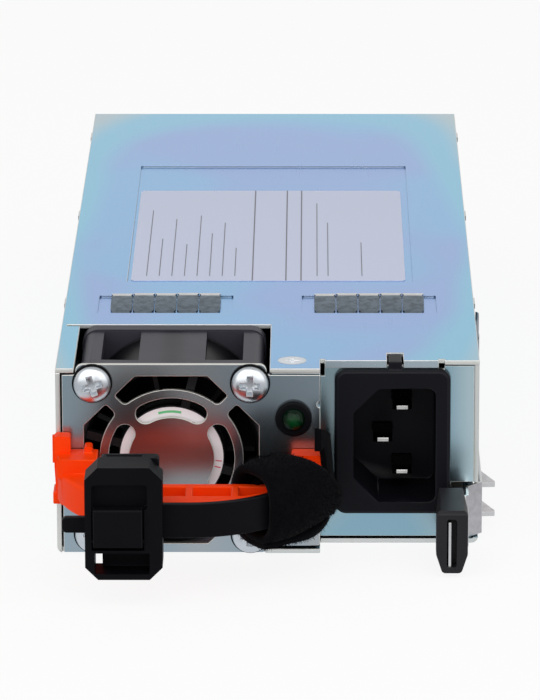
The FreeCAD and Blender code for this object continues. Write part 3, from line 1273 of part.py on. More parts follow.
def fan_header():
    x0, x1, y0, y1, top = HEADER
    wall = HEADER_WALL
    shell = box(x0, x1, y0, y1, BOARD_TOP, top)
    return shell.cut(box(x0 + wall, x1 - wall, y0 + wall, y1 - wall, HEADER_FLOOR, top + PAST))


WIRE_BEND, WIRE_SIDES = 0.45, 10
INLET_WIRE_R, LED_WIRE_R, FAN_WIRE_R = 0.9, 0.45, 0.6
INLET_WIRE_ENDS = (31.0, 27.0, 14.0)
INLET_WIRE_Y = 38.0
LED_WIRE_X, LED_WIRE_Y = 6.0, 36.8
FAN_WIRE_X, FAN_PLUG_X, FAN_PLUG_Y = -6.5, -4.0, 39.5


def wire(points, radius):
    # A lead of straight runs joined by tangent arcs through hand-placed corners.
    corners = [Vec(*p) for p in points]
    edges = []
    start = corners[0]
    for i in range(1, len(corners) - 1):
        a = (corners[i - 1] - corners[i])
        b = (corners[i + 1] - corners[i])
        half = a.getAngle(b) / 2
        reach = WIRE_BEND * min(a.Length, b.Length)
        arc_r = reach * math.tan(half)
        ua, ub = a.normalize(), b.normalize()
        middle = (ua + ub).normalize()
        begin = corners[i] + ua * reach
        end = corners[i] + ub * reach
        tip = corners[i] + middle * (arc_r / math.sin(half) - arc_r)
        edges.append(Part.LineSegment(start, begin).toShape())
        edges.append(Part.Arc(begin, tip, end).toShape())
        start = end
    edges.append(Part.LineSegment(start, corners[-1]).toShape())
    path = Part.Wire(edges)
    along = (corners[1] - corners[0]).normalize()
    across = along.cross(Vec(1, 0, 0)).normalize()
    up = along.cross(across)
    ring = []
    for i in range(WIRE_SIDES):
        angle = math.tau * i / WIRE_SIDES
        ring.append(corners[0] + across * (radius * math.cos(angle)) + up * (radius * math.sin(angle)))
    return path.makePipeShell([Part.makePolygon(ring + ring[:1])], True, True)


def inlet_wires():
    leads = []
    for (x, z), end in zip(inlet_pin_places, INLET_WIRE_ENDS):
        leads.append(wire(((x, PIN_END, z), (x, 34.0, z), (end, 36.5, (z + 16.0) / 2),
                           (end, INLET_WIRE_Y, 10.5), (end, INLET_WIRE_Y, BOARD_TOP)), INLET_WIRE_R))
    return Part.makeCompound(leads)


def led_wires():
    leads = []
    for shift in (-0.7, 0.7):
        x, end = LED_X + shift, LED_WIRE_X + shift * 2
        leads.append(wire(((x, LENS_BACK, LED_Z), (x, 14.0, LED_Z), (end, 30.0, 22.0),
                           (end, LED_WIRE_Y, 12.0), (end, LED_WIRE_Y, BOARD_TOP)), LED_WIRE_R))
    return Part.makeCompound(leads)


def fan_lead():
    leads = []
    for shift in (-1.2, 1.2):
        x, end = FAN_WIRE_X + shift, FAN_PLUG_X + shift
        leads.append(wire(((x, FAN_BACK, 5.0), (x, 34.2, 5.0), (end, 35.4, 18.0),
                           (end, FAN_PLUG_Y, 18.0), (end, FAN_PLUG_Y, HEADER_FLOOR)), FAN_WIRE_R))
    return Part.makeCompound(leads)


HUB_LABEL_R, HUB_LABEL_THICK = 10.7, 0.12
MAGNET = (8.8, 8.0, 20.0)
BEARING_Y, BEARING, BEARING_ROOM = (6.0, 14.0), 2.5, 0.03


def fan_bearings():
    return Part.makeCompound([ring_y(FAN_X, FAN_Z, TUBE_BORE_R, SHAFT_R + BEARING_ROOM, y, y + BEARING)
                              for y in BEARING_Y])


def main():
    os.makedirs("parts", exist_ok=True)
    save("chassis_tray", chassis_tray())
    save("front_panel", front_panel())
    save("inlet_panel", inlet_panel())
    save("rear_panel", rear_panel())
    save("top_cover", top_cover())
    save("cover_screw", cover_screw())
    for name, x in zip(("gasket_left", "gasket_right"), GASKET_X):
        strip_of_fingers = spring_fingers()
        strip_of_fingers.translate(Vec(x, GASKET_Y0, HEIGHT - RECESS_DEPTH))
        save(name, strip_of_fingers)
    side_fingers = spring_fingers()
    side_fingers.rotate(Vec(0, 0, 0), Vec(0, 1, 0), 90)
    side_fingers.translate(Vec(HALF, GASKET_Y0, SIDE_GASKET_Z))
    save("gasket_side", side_fingers)
    save("rating_label", rating_label())
    save("fan_frame", fan_frame())
    save("fan_label", rod_y(FAN_X, FAN_Z, HUB_LABEL_R, BASE_FRONT - HUB_LABEL_THICK, BASE_FRONT))
    save("fan_rotor", fan_rotor())
    save("fan_magnet", ring_y(FAN_X, FAN_Z, HUB_R - CUP_WALL, *MAGNET))
    save("fan_shaft", rod_y(FAN_X, FAN_Z, SHAFT_R, SHAFT_FRONT, ROTOR_BACK - CUP_WALL))
    save("fan_bearings", fan_bearings())
    save("fan_stator", fan_stator())
    save("fan_coils", fan_coils())
    save("fan_screws", Part.makeCompound([pan_head_screw(x, z, -WASHER) for x, z in fan_corners]))
    washers = [ring_y(x, z, WASHER_R, FAN_HOLE_R, -WASHER, 0) for x, z in fan_corners]
    save("fan_washers", Part.makeCompound(washers))
    save("fan_lead", fan_lead())
    save("inlet_body", inlet_body())
    save("inlet_pins", Part.makeCompound([pin_blade(x, z) for x, z in inlet_pin_places]))
    save("inlet_wires", inlet_wires())
    save("led_bezel", led_bezel())
    save("led_lens", led_lens())
    save("led_wires", led_wires())
    save("pull_handle", pull_handle())
    save("strap_tie", strap_tie())
    save("cord_clamp", cord_clamp())
    save("clamp_tongue", clamp_tongue())
    save("tongue_pin", tongue_pin())
    save("hook_loop_strap", hook_loop_strap())
    save("latch_spring", latch_spring())
    save("latch_grip", latch_grip())
    save("latch_rivets", latch_rivets())
    save("circuit_board", circuit_board())
    save("board_standoffs", board_standoffs())
    save("board_screws", board_screws())
    save("insulator_sheet", insulator_sheet())
    save("edge_contacts", edge_contacts())
    save("bulk_capacitors", bulk_capacitors())
    save("line_chokes", line_chokes())
    save("choke_windings", choke_windings())
    save("line_capacitors", line_capacitors())
    save("fuse_tube", fuse_tube())
    save("bridge_rectifier", bridge_rectifier())
    save("heatsink_primary", finned_plate(*PRIMARY_SINK))
    save("heatsink_output", finned_plate(*OUTPUT_SINK))
    save("power_transistors", power_transistors())
    save("pfc_choke", toroid(*PFC_CHOKE))
    save("output_choke", toroid(*OUTPUT_CHOKE))
    save("transformer_core", transformer_core())
    save("transformer_winding", transformer_winding())
    save("output_capacitors", output_capacitors())
    save("control_card", control_card())
    save("fan_header", fan_header())
    for name, volume in saved:
        print("%-20s %10.1f mm3" % (name, volume))


main()
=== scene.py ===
import json
import math
import bmesh
import bpy
from mathutils import Matrix, Vector
from mathutils.bvhtree import BVHTree
from mathutils.geometry import area_tri
from mathutils.kdtree import KDTree


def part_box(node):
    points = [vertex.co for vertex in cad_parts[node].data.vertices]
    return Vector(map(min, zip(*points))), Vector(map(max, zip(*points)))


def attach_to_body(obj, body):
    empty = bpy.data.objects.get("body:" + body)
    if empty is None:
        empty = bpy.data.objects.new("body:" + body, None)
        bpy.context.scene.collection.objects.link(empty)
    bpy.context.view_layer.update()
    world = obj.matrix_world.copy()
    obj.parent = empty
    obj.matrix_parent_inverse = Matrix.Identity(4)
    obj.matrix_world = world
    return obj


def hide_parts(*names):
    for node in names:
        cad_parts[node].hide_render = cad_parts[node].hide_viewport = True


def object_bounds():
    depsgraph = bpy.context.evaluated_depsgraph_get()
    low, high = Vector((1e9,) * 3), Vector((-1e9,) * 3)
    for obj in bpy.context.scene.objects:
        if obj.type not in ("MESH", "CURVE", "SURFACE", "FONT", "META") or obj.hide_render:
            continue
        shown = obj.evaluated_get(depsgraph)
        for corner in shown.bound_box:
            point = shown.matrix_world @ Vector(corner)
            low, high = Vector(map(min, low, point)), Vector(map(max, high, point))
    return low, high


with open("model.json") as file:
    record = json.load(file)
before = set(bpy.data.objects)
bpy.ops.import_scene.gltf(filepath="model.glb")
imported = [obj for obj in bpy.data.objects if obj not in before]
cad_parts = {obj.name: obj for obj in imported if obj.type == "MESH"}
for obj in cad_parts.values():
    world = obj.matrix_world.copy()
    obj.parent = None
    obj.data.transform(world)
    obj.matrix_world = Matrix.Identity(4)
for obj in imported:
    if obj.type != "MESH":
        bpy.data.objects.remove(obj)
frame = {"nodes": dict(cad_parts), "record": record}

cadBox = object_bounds()
mm = 0.001
scene = bpy.context.scene
record = frame["record"]
bodyOf = {node: body for body, nodes in record["behaviour"]["bodies"].items() for node in nodes}
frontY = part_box("front_panel")[0].y        # plane of the fan guard


# node trees: a Wire is one socket, and arithmetic on it adds Math nodes
class Wire:
    def __init__(self, net, socket):
        self.net = net
        self.socket = socket

    def out(self, name):
        return Wire(self.net, self.socket.node.outputs[name])

    def maths(self, operation, left, right):
        return self.net.add("ShaderNodeMath", {"operation": operation}, {0: left, 1: right})

    def atMost(self, limit):
        return self.maths("MINIMUM", self, limit)

    def atLeast(self, limit):
        return self.maths("MAXIMUM", self, limit)

    def __add__(self, other):
        return self.maths("ADD", self, other)

    def __sub__(self, other):
        return self.maths("SUBTRACT", self, other)

    def __rsub__(self, other):
        return self.maths("SUBTRACT", other, self)

    def __mul__(self, other):
        return self.maths("MULTIPLY", self, other)

    def __truediv__(self, other):
        return self.maths("DIVIDE", self, other)

    def __rtruediv__(self, other):
        return self.maths("DIVIDE", other, self)

    def __pow__(self, other):
        return self.maths("POWER", self, other)

    def __abs__(self):
        return self.maths("ABSOLUTE", self, 0.0)

    __radd__ = __add__
    __rmul__ = __mul__


class Net:
    def __init__(self, tree):
        self.tree = tree

    def add(self, kind, settings=None, links=None, out=0):
        node = self.tree.nodes.new(kind)
        for name, value in (settings or {}).items():
            setattr(node, name, value)
        for name, value in (links or {}).items():
            if isinstance(value, Wire):
                self.tree.links.new(value.socket, node.inputs[name])
            else:
                node.inputs[name].default_value = value
        return Wire(self, node.outputs[out]) if len(node.outputs) else None

    def spot(self):
        return self.add("ShaderNodeTexCoord", out="Object")

    def axes(self, vector):
        # the X socket, with the others beside it
        return self.add("ShaderNodeSeparateXYZ", links={0: vector}, out="X")

    def marked(self, name):
        return self.add("ShaderNodeAttribute", {"attribute_name": name}, out="Fac")

    def stretched(self, vector, scale):
        return self.add("ShaderNodeMapping", links={"Vector": vector, "Scale": scale})

    def noise(self, vector, scale, detail):
        return self.add("ShaderNodeTexNoise", links={"Vector": vector, "Scale": scale, "Detail": detail})

    def distance(self, first, second):
        return self.add("ShaderNodeVectorMath", {"operation": "DISTANCE"}, {0: first, 1: second}, out="Value")

    def mix(self, factor, first, second):
        return self.add("ShaderNodeMix", {"data_type": "RGBA"}, {0: factor, 6: first, 7: second}, out=2)

    def smooth(self, value, low, high):
        return self.add("ShaderNodeMapRange", {"interpolation_type": "SMOOTHSTEP"},
                        {"Value": value, "From Min": low, "From Max": high})

    def dented(self, height, strength, depth):
        return self.add("ShaderNodeBump", links={"Height": height, "Strength": strength, "Distance": depth * mm})


class Finish(Net):
    def __init__(self, name, fixed):
        self.material = bpy.data.materials.new(name)
        self.material.use_nodes = True
        super().__init__(self.material.node_tree)
        self.shader = self.tree.nodes["Principled BSDF"]
        for label, value in fixed.items():
            self.shader.inputs[label].default_value = value

    def feed(self, links):
        for label, wire in links.items():
            self.tree.links.new(wire.socket, self.shader.inputs[label])
        return self.material


# finishes: lengths in mm, noise scales per metre
def rgb(red, green, blue):
    return (red, green, blue, 1.0)


def shaded(colour, share, lift=0.0):
    return rgb(*[min(part * share + lift, 1.0) for part in colour])


# the cover's lip colour is a painted highlight on its front bend
coverLook = {"ground": rgb(0.245, 0.49, 0.79), "second": rgb(0.285, 0.44, 0.77), "third": rgb(0.23, 0.57, 0.76),
             "edge": rgb(0.50, 0.58, 0.60), "lip": rgb(0.56, 0.66, 0.72), "cloud": 20.0, "rimFrom": 0.84,
             "edgeFrom": 1.02, "rough": 0.27}
wallLook = {"ground": rgb(0.43, 0.62, 0.74), "second": rgb(0.50, 0.60, 0.72), "third": rgb(0.40, 0.64, 0.74),
            "edge": rgb(0.60, 0.62, 0.62), "cloud": 22.0, "rimFrom": 0.90, "edgeFrom": 1.05, "rough": 0.24}
panelLook = {"ground": rgb(0.41, 0.495, 0.55), "second": rgb(0.51, 0.53, 0.54), "third": rgb(0.37, 0.51, 0.585),
             "edge": rgb(0.62, 0.62, 0.58), "cloud": 40.0, "rimFrom": 0.98, "edgeFrom": 1.10, "rough": 0.24}
inletLook = {"ground": rgb(0.325, 0.54, 0.65), "second": rgb(0.44, 0.58, 0.62), "third": rgb(0.31, 0.54, 0.65),
             "edge": rgb(0.70, 0.86, 0.90), "cloud": 30.0, "rimFrom": 0.98, "edgeFrom": 0.95, "rough": 0.24}
zincLook = {"cloudFrom": 0.42, "cloudTo": 0.62, "driftAt": (3.1, 1.7, 0.4), "driftScale": 0.7, "driftReach": 0.25,
            "centreY": -8.0, "corner": 4.0, "fade": 0.14, "thirdShare": 0.9, "edgeShare": 0.85,
            "frontBand": (9.0, 8.0), "frontRaise": 0.45, "lipFrom": 0.5, "lipTo": 0.7,
            "grain": (1500.0, 60.0, 1500.0), "grainRough": 0.02, "wornRough": 0.20, "wornShare": 0.8,
            "wearAndHighlight": rgb(0.86, 0.84, 0.78), "stepShadeShare": 0.9, "stepShade": rgb(0.20, 0.24, 0.27)}


def zincFinish(name, look):
    # passivated zinc: blue with lilac drifts, teal towards the box's edges and grey at its corners; the front lip is
    # painted paler as a painted highlight, and pressed steps darker as painted shade
    made = Finish(name, {"Metallic": 1.0})
    spot = made.spot()
    clouds = made.noise(spot, look["cloud"], 1.0)
    moved = made.add("ShaderNodeMapping", links={"Vector": spot, "Location": zincLook["driftAt"]})
    drift = made.noise(moved, look["cloud"] * zincLook["driftScale"], 1.0)
    place = made.axes(spot)
    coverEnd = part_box("top_cover")[1]
    centreY, corner = zincLook["centreY"] * mm, zincLook["corner"]
    across = abs(place) / coverEnd.x
    along = abs(place.out("Y") - centreY) / (coverEnd.y - centreY)
    rim = (across ** corner + along ** corner) ** (1.0 / corner) + (drift - 0.5) * zincLook["driftReach"]
    tone = made.mix(made.smooth(clouds, zincLook["cloudFrom"], zincLook["cloudTo"]), look["ground"], look["second"])
    for colour, start, share in (("third", look["rimFrom"], zincLook["thirdShare"]),
                                 ("edge", look["edgeFrom"], zincLook["edgeShare"])):
        tone = made.mix(made.smooth(rim, start, start + zincLook["fade"]) * share, tone, look[colour])
    if "lip" in look:
        # the lip is painted paler, a painted highlight where the front bend catches light; it starts higher along the
        # front
        first, last = [coverEnd.y - part * mm for part in zincLook["frontBand"]]
        atFront = made.smooth(place.out("Y") * -1.0, first, last)
        below = coverEnd.z - place.out("Z") + atFront * (zincLook["frontRaise"] * mm)
        tone = made.mix(made.smooth(below, zincLook["lipFrom"] * mm, zincLook["lipTo"] * mm), tone, look["lip"])
    grain = made.noise(made.stretched(spot, zincLook["grain"]), 1.0, 2.0)
    wearAndHighlight = made.marked("wearAndHighlight")
    tone = made.mix(wearAndHighlight * zincLook["wornShare"], tone, zincLook["wearAndHighlight"])
    # pressed steps are painted darker: painted shade in the narrow steps of the recess
    tone = made.mix(made.marked("stepShade") * zincLook["stepShadeShare"], tone, zincLook["stepShade"])
    uneven = (grain - 0.5) * zincLook["grainRough"] + wearAndHighlight * zincLook["wornRough"]
    return made.feed({"Base Color": tone, "Roughness": look["rough"] + uneven})


brightLook = {"marks": 1400.0, "stains": 700.0, "stainFrom": 0.35, "stainTo": 0.7, "stainShade": 0.45,
              "wornShare": 0.8, "wearAndHighlight": rgb(0.80, 0.79, 0.78), "tipFrom": 0.1, "tipTo": 0.4,
              "pinShade": rgb(0.010, 0.010, 0.011), "markRough": 0.12, "stainRough": 0.3, "dent": 0.08, "depth": 0.03}


def brightFinish(name, colour, rough, mottle, tip=None):
    # plated metal with fine tool marks and paler worn edges; gasket crests are painted paler, a painted highlight;
    # behind a contact's tip the metal is painted dark, painted shade deep in the inlet's recess
    made = Finish(name, {"Metallic": 1.0})
    spot = made.spot()
    marks = made.noise(spot, brightLook["marks"], 3.0)
    stain = made.noise(spot, brightLook["stains"], 3.0)
    stained = made.smooth(stain, brightLook["stainFrom"], brightLook["stainTo"]) * mottle
    tone = made.mix(stained, rgb(*colour), shaded(colour, brightLook["stainShade"]))
    tone = made.mix(made.marked("wearAndHighlight") * brightLook["wornShare"], tone, brightLook["wearAndHighlight"])
    if tip is not None:
        # behind the tip the metal is painted dark: painted shade deep in the inlet's recess
        first, last = tip + brightLook["tipFrom"] * mm, tip + brightLook["tipTo"] * mm
        tone = made.mix(made.smooth(made.axes(spot).out("Y"), first, last), tone, brightLook["pinShade"])
    uneven = (marks - 0.5) * brightLook["markRough"] + (stain - 0.5) * (mottle * brightLook["stainRough"])
    return made.feed({"Base Color": tone, "Roughness": rough + uneven,
                      "Normal": made.dented(marks, brightLook["dent"], brightLook["depth"])})


mouldedLook = {"pebbles": 2600.0, "depth": 0.04, "flow": 90.0, "flowDark": 0.86, "flowPale": 1.12, "flowRough": 0.12,
               "rubShare": 0.35, "rubPale": 1.6, "rubLift": 0.012, "rubRough": 0.08, "coatRough": 0.25,
               "mouthShade": rgb(0.003, 0.003, 0.004), "mouthShadeBlur": 0.3}


def mouldedFinish(name, colour, rough, pebble=0.25, coat=0.0, shine=0.5, mouth=0.0):
    # moulded plastic: fine pebble, a little flow shade, paler rubbed edges, and painted shade inside a fan's mouth
    made = Finish(name, {"Coat Weight": coat, "Coat Roughness": mouldedLook["coatRough"],
                         "Specular IOR Level": shine})
    spot = made.spot()
    stipple = made.noise(spot, mouldedLook["pebbles"], 2.0)
    flow = made.noise(spot, mouldedLook["flow"], 3.0)
    rubbed = made.marked("wearAndHighlight")
    tone = made.mix(flow, shaded(colour, mouldedLook["flowDark"]), shaded(colour, mouldedLook["flowPale"]))
    rubbedTone = shaded(colour, mouldedLook["rubPale"], mouldedLook["rubLift"])
    tone = made.mix(rubbed * mouldedLook["rubShare"], tone, rubbedTone)
    if mouth:
        # inside the fan's mouth the frame is painted near black: painted shade
        low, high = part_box("fan_frame")
        away = made.distance(made.stretched(spot, (1.0, 0.0, 1.0)),
                             ((low.x + high.x) / 2, 0.0, (low.z + high.z) / 2))
        blur = mouldedLook["mouthShadeBlur"]
        tone = made.mix(made.smooth(away, (mouth - blur) * mm, (mouth + blur) * mm), mouldedLook["mouthShade"], tone)
    uneven = (flow - 0.5) * mouldedLook["flowRough"] - rubbed * mouldedLook["rubRough"]
    return made.feed({"Base Color": tone, "Roughness": rough + uneven,
                      "Normal": made.dented(stipple, pebble, mouldedLook["depth"])})


filmLook = {"fibre": (900.0, 300.0, 900.0), "wave": 30.0, "shade": 0.94, "rough": 0.42, "fibreRough": 0.1,
            "dent": 0.06, "depth": 0.2, "fixed": {"Coat Weight": 0.2, "Coat Roughness": 0.3}}


def filmFinish(name, colour):
    # printed film sticker: satin, faint fibre
    made = Finish(name, filmLook["fixed"])
    spot = made.spot()
    fibre = made.noise(made.stretched(spot, filmLook["fibre"]), 1.0, 3.0)
    wave = made.noise(spot, filmLook["wave"], 1.0)
    tone = made.mix((fibre + wave) * 0.5, shaded(colour, filmLook["shade"]), rgb(*colour))
    return made.feed({"Base Color": tone, "Roughness": filmLook["rough"] + (fibre - 0.5) * filmLook["fibreRough"],
                      "Normal": made.dented(wave, filmLook["dent"], filmLook["depth"])})


pileLook = {"tufts": 1700.0, "hookFrom": 0.68, "hookTo": 0.80, "hookShare": 0.4, "hook": rgb(0.05, 0.05, 0.06),
            "patches": 240.0, "patchShare": 0.4, "patchShade": 0.4, "rough": 0.86, "patchRough": 0.15,
            "dent": 0.6, "depth": 0.25,
            "fixed": {"Sheen Weight": 0.012, "Sheen Roughness": 0.5, "Specular IOR Level": 0.04}}


def pileFinish(name, colour):
    # loop pile: dark thread with scattered paler hooks
    made = Finish(name, pileLook["fixed"])
    spot = made.spot()
    tuft = made.noise(spot, pileLook["tufts"], 3.0)
    patch = made.noise(spot, pileLook["patches"], 2.0)
    hooks = made.smooth(tuft, pileLook["hookFrom"], pileLook["hookTo"]) * pileLook["hookShare"]
    tone = made.mix(hooks, rgb(*colour), pileLook["hook"])
    tone = made.mix(patch * pileLook["patchShare"], tone, shaded(colour, pileLook["patchShade"]))
    return made.feed({"Base Color": tone, "Roughness": pileLook["rough"] + (patch - 0.5) * pileLook["patchRough"],
                      "Normal": made.dented(tuft, pileLook["dent"], pileLook["depth"])})


lensLook = {"dieHighlight": rgb(0.002, 0.042, 0.010), "rim": rgb(0.001, 0.008, 0.003), "dieHighlightFrom": 0.2, "dieHighlightTo": 2.4,
            "fixed": {"Roughness": 0.16, "Coat Weight": 0.10, "Coat Roughness": 0.04, "Specular IOR Level": 0.10}}


def lensFinish(name):
    # tinted lamp lens with a painted highlight: lighter where the die sits behind it
    made = Finish(name, lensLook["fixed"])
    low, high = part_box("led_lens")
    middle = (low + high) / 2
    away = made.distance(made.spot(), (middle.x, low.y, middle.z))
    outside = made.smooth(away, lensLook["dieHighlightFrom"] * mm, lensLook["dieHighlightTo"] * mm)
    return made.feed({"Base Color": made.mix(outside, lensLook["dieHighlight"], lensLook["rim"])})


laminateLook = {"weave": 1200.0, "tracks": 160.0, "gap": 0.03, "ground": rgb(0.020, 0.105, 0.045),
                "track": rgb(0.040, 0.170, 0.070), "rough": 0.35, "weaveRough": 0.1, "dent": 0.2, "depth": 0.03,
                "fixed": {"Coat Weight": 0.4, "Coat Roughness": 0.2}}


def laminateFinish(name):
    # circuit board: green lacquer over woven glass
    made = Finish(name, laminateLook["fixed"])
    spot = made.spot()
    weave = made.noise(spot, laminateLook["weave"], 2.0)
    tracks = made.add("ShaderNodeTexBrick", out="Fac", links={"Vector": spot, "Scale": laminateLook["tracks"],
                                                              "Mortar Size": laminateLook["gap"]})
    tone = made.mix(tracks, laminateLook["ground"], laminateLook["track"])
    return made.feed({"Base Color": tone, "Roughness": laminateLook["rough"] + weave * laminateLook["weaveRough"],
                      "Normal": made.dented(weave + tracks, laminateLook["dent"], laminateLook["depth"])})


windingLook = {"pitch": 900.0, "slack": 0.6, "shade": 0.35, "rough": 0.42, "crownRough": 0.15, "dent": 0.7,
               "depth": 0.2, "fixed": {"Metallic": 0.85, "Coat Weight": 0.6, "Coat Roughness": 0.15}}


def windingFinish(name, colour):
    # close turns of enamelled wire, darker in the grooves between the turns: painted shade
    made = Finish(name, windingLook["fixed"])
    wires = made.add("ShaderNodeTexWave", {"wave_type": "BANDS", "bands_direction": "DIAGONAL"},
                     {"Vector": made.spot(), "Scale": windingLook["pitch"], "Distortion": windingLook["slack"],
                      "Detail": 1.0}, out="Fac")
    tone = made.mix(wires, shaded(colour, windingLook["shade"]), rgb(*colour))
    return made.feed({"Base Color": tone, "Roughness": windingLook["rough"] - wires * windingLook["crownRough"],
                      "Normal": made.dented(wires, windingLook["dent"], windingLook["depth"])})


finishes = {
    "cover": zincFinish("zincCover", coverLook),
    "wall": zincFinish("zincWall", wallLook),
    "panel": zincFinish("zincPanel", panelLook),
    "sidePanel": zincFinish("zincSidePanel", inletLook),
    "spring": brightFinish("springTin", (0.62, 0.60, 0.61), 0.30, 0.25),
    "gasket": brightFinish("gasketTin", (0.17, 0.22, 0.27), 0.30, 0.70),
    "chrome": brightFinish("screwChrome", (0.74, 0.78, 0.82), 0.30, 0.10),
    "contact": brightFinish("contactPlate", (0.78, 0.76, 0.72), 0.28, 0.20),
    # the pins are painted dark behind their tips: painted shade inside the inlet
    "pin": brightFinish("pinPlate", (0.78, 0.76, 0.72), 0.28, 0.20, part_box("inlet_pins")[0].y),
    "gilt": brightFinish("contactGilt", (0.86, 0.62, 0.26), 0.25, 0.15),
    "alloy": brightFinish("sinkAlloy", (0.72, 0.73, 0.74), 0.35, 0.20),
    "fan": mouldedFinish("fanGrey", (0.038, 0.036, 0.048), 0.45, shine=0.25, mouth=19.0),
    "blade": mouldedFinish("bladeBlack", (0.006, 0.006, 0.007), 0.50, shine=0.2),
    "black": mouldedFinish("mouldBlack", (0.0030, 0.0030, 0.0044), 0.45, shine=0.08),
    "inlet": mouldedFinish("inletBlack", (0.0044, 0.0044, 0.0070), 0.42, shine=0.12),
    "grip": mouldedFinish("gripGrey", (0.014, 0.013, 0.016), 0.45, shine=0.20),
    "orange": mouldedFinish("handleOrange", (0.98, 0.050, 0.002), 0.45, pebble=0.10, shine=0.08),
    "rubber": mouldedFinish("rubberBlack", (0.005, 0.005, 0.006), 0.75, shine=0.1),
    "resin": mouldedFinish("packageResin", (0.030, 0.030, 0.032), 0.50),
    "core": mouldedFinish("ferriteGrey", (0.075, 0.075, 0.080), 0.60),
    "sleeve": mouldedFinish("canSleeve", (0.035, 0.050, 0.130), 0.28, pebble=0.05, coat=0.5),
    "film": mouldedFinish("clearFilm", (0.62, 0.60, 0.52), 0.30, pebble=0.05, coat=0.3),
    "jacket": mouldedFinish("wireJacket", (0.045, 0.045, 0.050), 0.45, pebble=0.10),
    "label": filmFinish("labelFilm", (0.57, 0.62, 0.80)),
    "hubLabel": filmFinish("hubLabelFilm", (0.80, 0.74, 0.76)),
    "ink": mouldedFinish("ruleInk", (0.20, 0.20, 0.24), 0.60, pebble=0.02),
    "greenInk": mouldedFinish("greenInk", (0.12, 0.48, 0.20), 0.60, pebble=0.02),
    "redInk": mouldedFinish("redInk", (0.62, 0.10, 0.14), 0.60, pebble=0.02),
    "pile": pileFinish("strapPile", (0.0028, 0.0028, 0.0040)),
    "lens": lensFinish("lampLens"),
    "board": laminateFinish("boardLaminate"),
    "copper": windingFinish("copperTurns", (0.72, 0.30, 0.10)),
}
print("finishes:", len(finishes))


# pieces: placing, copying a node, growing a node tree
def settle(piece, node):
    # takes the place of a CAD node
    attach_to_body(piece, bodyOf[node])
    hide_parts(node)
    return piece


def attach(piece, node):
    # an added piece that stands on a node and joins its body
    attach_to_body(piece, bodyOf[node])
    return piece


def newPiece(name, mesh, finish):
    mesh.name = name
    piece = bpy.data.objects.new(name, mesh)
    scene.collection.objects.link(piece)
    mesh.materials.clear()
    mesh.materials.append(finishes[finish])
    return piece


def plainMesh(work):
    mesh = bpy.data.meshes.new("piece")
    work.to_mesh(mesh)
    work.free()
    return mesh


def meshFrom(work):
    bmesh.ops.recalc_face_normals(work, faces=work.faces)
    return plainMesh(work)


def evaluated(piece):
    bpy.context.view_layer.update()
    graph = bpy.context.evaluated_depsgraph_get()
    mesh = bpy.data.meshes.new_from_object(piece.evaluated_get(graph), depsgraph=graph)
    piece.modifiers.clear()
    piece.data = mesh
    return piece


def walled(piece, thick):
    # gives a sheet its thickness, half to each side
    wall = piece.modifiers.new("wall", "SOLIDIFY")
    wall.thickness = thick * mm
    wall.offset = 0.0
    return evaluated(piece)


sharpFrom = {"cad": 32.0, "made": 40.0}        # degrees between faces


def smoothed(mesh, kind):
    mesh.shade_smooth()
    mesh.set_sharp_from_angle(angle=math.radians(sharpFrom[kind]))
    return mesh


def gridFaces(work, grid):
    for row, after in zip(grid, grid[1:]):
        for j in range(len(row) - 1):
            work.faces.new((row[j], row[j + 1], after[j + 1], after[j]))


def boxInto(work, low, high):
    corners = [work.verts.new((x, y, z)) for x in (low[0], high[0]) for y in (low[1], high[1])
               for z in (low[2], high[2])]
    for face in ((0, 1, 3, 2), (4, 6, 7, 5), (0, 4, 5, 1), (2, 3, 7, 6), (0, 2, 6, 4), (1, 5, 7, 3)):
        work.faces.new([corners[i] for i in face])


def turned(profile, steps):
    # a profile of (radius, height) spun about Z
    work = bmesh.new()
    verts = [work.verts.new((radius * mm, 0.0, height * mm)) for radius, height in profile]
    edges = [work.edges.new(pair) for pair in zip(verts, verts[1:])]
    bmesh.ops.spin(work, geom=verts + edges, cent=(0, 0, 0), axis=(0, 0, 1), angle=math.tau, steps=steps)
    bmesh.ops.remove_doubles(work, verts=work.verts, dist=0.001 * mm)
    return meshFrom(work)


def mergedCopy(node):
    # a CAD node's loose triangles joined into whole flat faces
    mesh = frame["nodes"][node].data.copy()
    work = bmesh.new()
    work.from_mesh(mesh)
    bmesh.ops.remove_doubles(work, verts=work.verts, dist=0.002 * mm)
    bmesh.ops.dissolve_limit(work, angle_limit=math.radians(0.1), verts=work.verts, edges=work.edges)
    work.to_mesh(mesh)
    work.free()
    return mesh


def grow(name, mesh, finish, plan, inputs):
    # runs a node tree made by plan on the mesh and keeps the result as a plain mesh
    tree = bpy.data.node_groups.new(name, "GeometryNodeTree")
    tree.interface.new_socket("Geometry", in_out="OUTPUT", socket_type="NodeSocketGeometry")
    tree.interface.new_socket("Geometry", in_out="INPUT", socket_type="NodeSocketGeometry")
    kinds = {int: "NodeSocketInt", float: "NodeSocketFloat", tuple: "NodeSocketVector"}
    for label, value in inputs.items():
        tree.interface.new_socket(label, in_out="INPUT", socket_type=kinds[type(value)])
    tree.interface.new_socket("Finish", in_out="INPUT", socket_type="NodeSocketMaterial")
    net = Net(tree)
    given = net.add("NodeGroupInput")
    whole = net.add("GeometryNodeRealizeInstances", links={0: plan(net, given)})
    painted = net.add("GeometryNodeSetMaterial", links={"Geometry": whole, "Material": given.out("Finish")})
    net.add("NodeGroupOutput", links={0: painted})
    piece = newPiece(name, mesh, finish)
    values = dict(inputs, Finish=finishes[finish])
    modifier = piece.modifiers.new(name, "NODES")
    modifier.node_group = tree
    for item in tree.interface.items_tree:
        if item.in_out == "INPUT" and item.name in values:
            modifier[item.identifier] = values[item.name]
    return evaluated(piece)


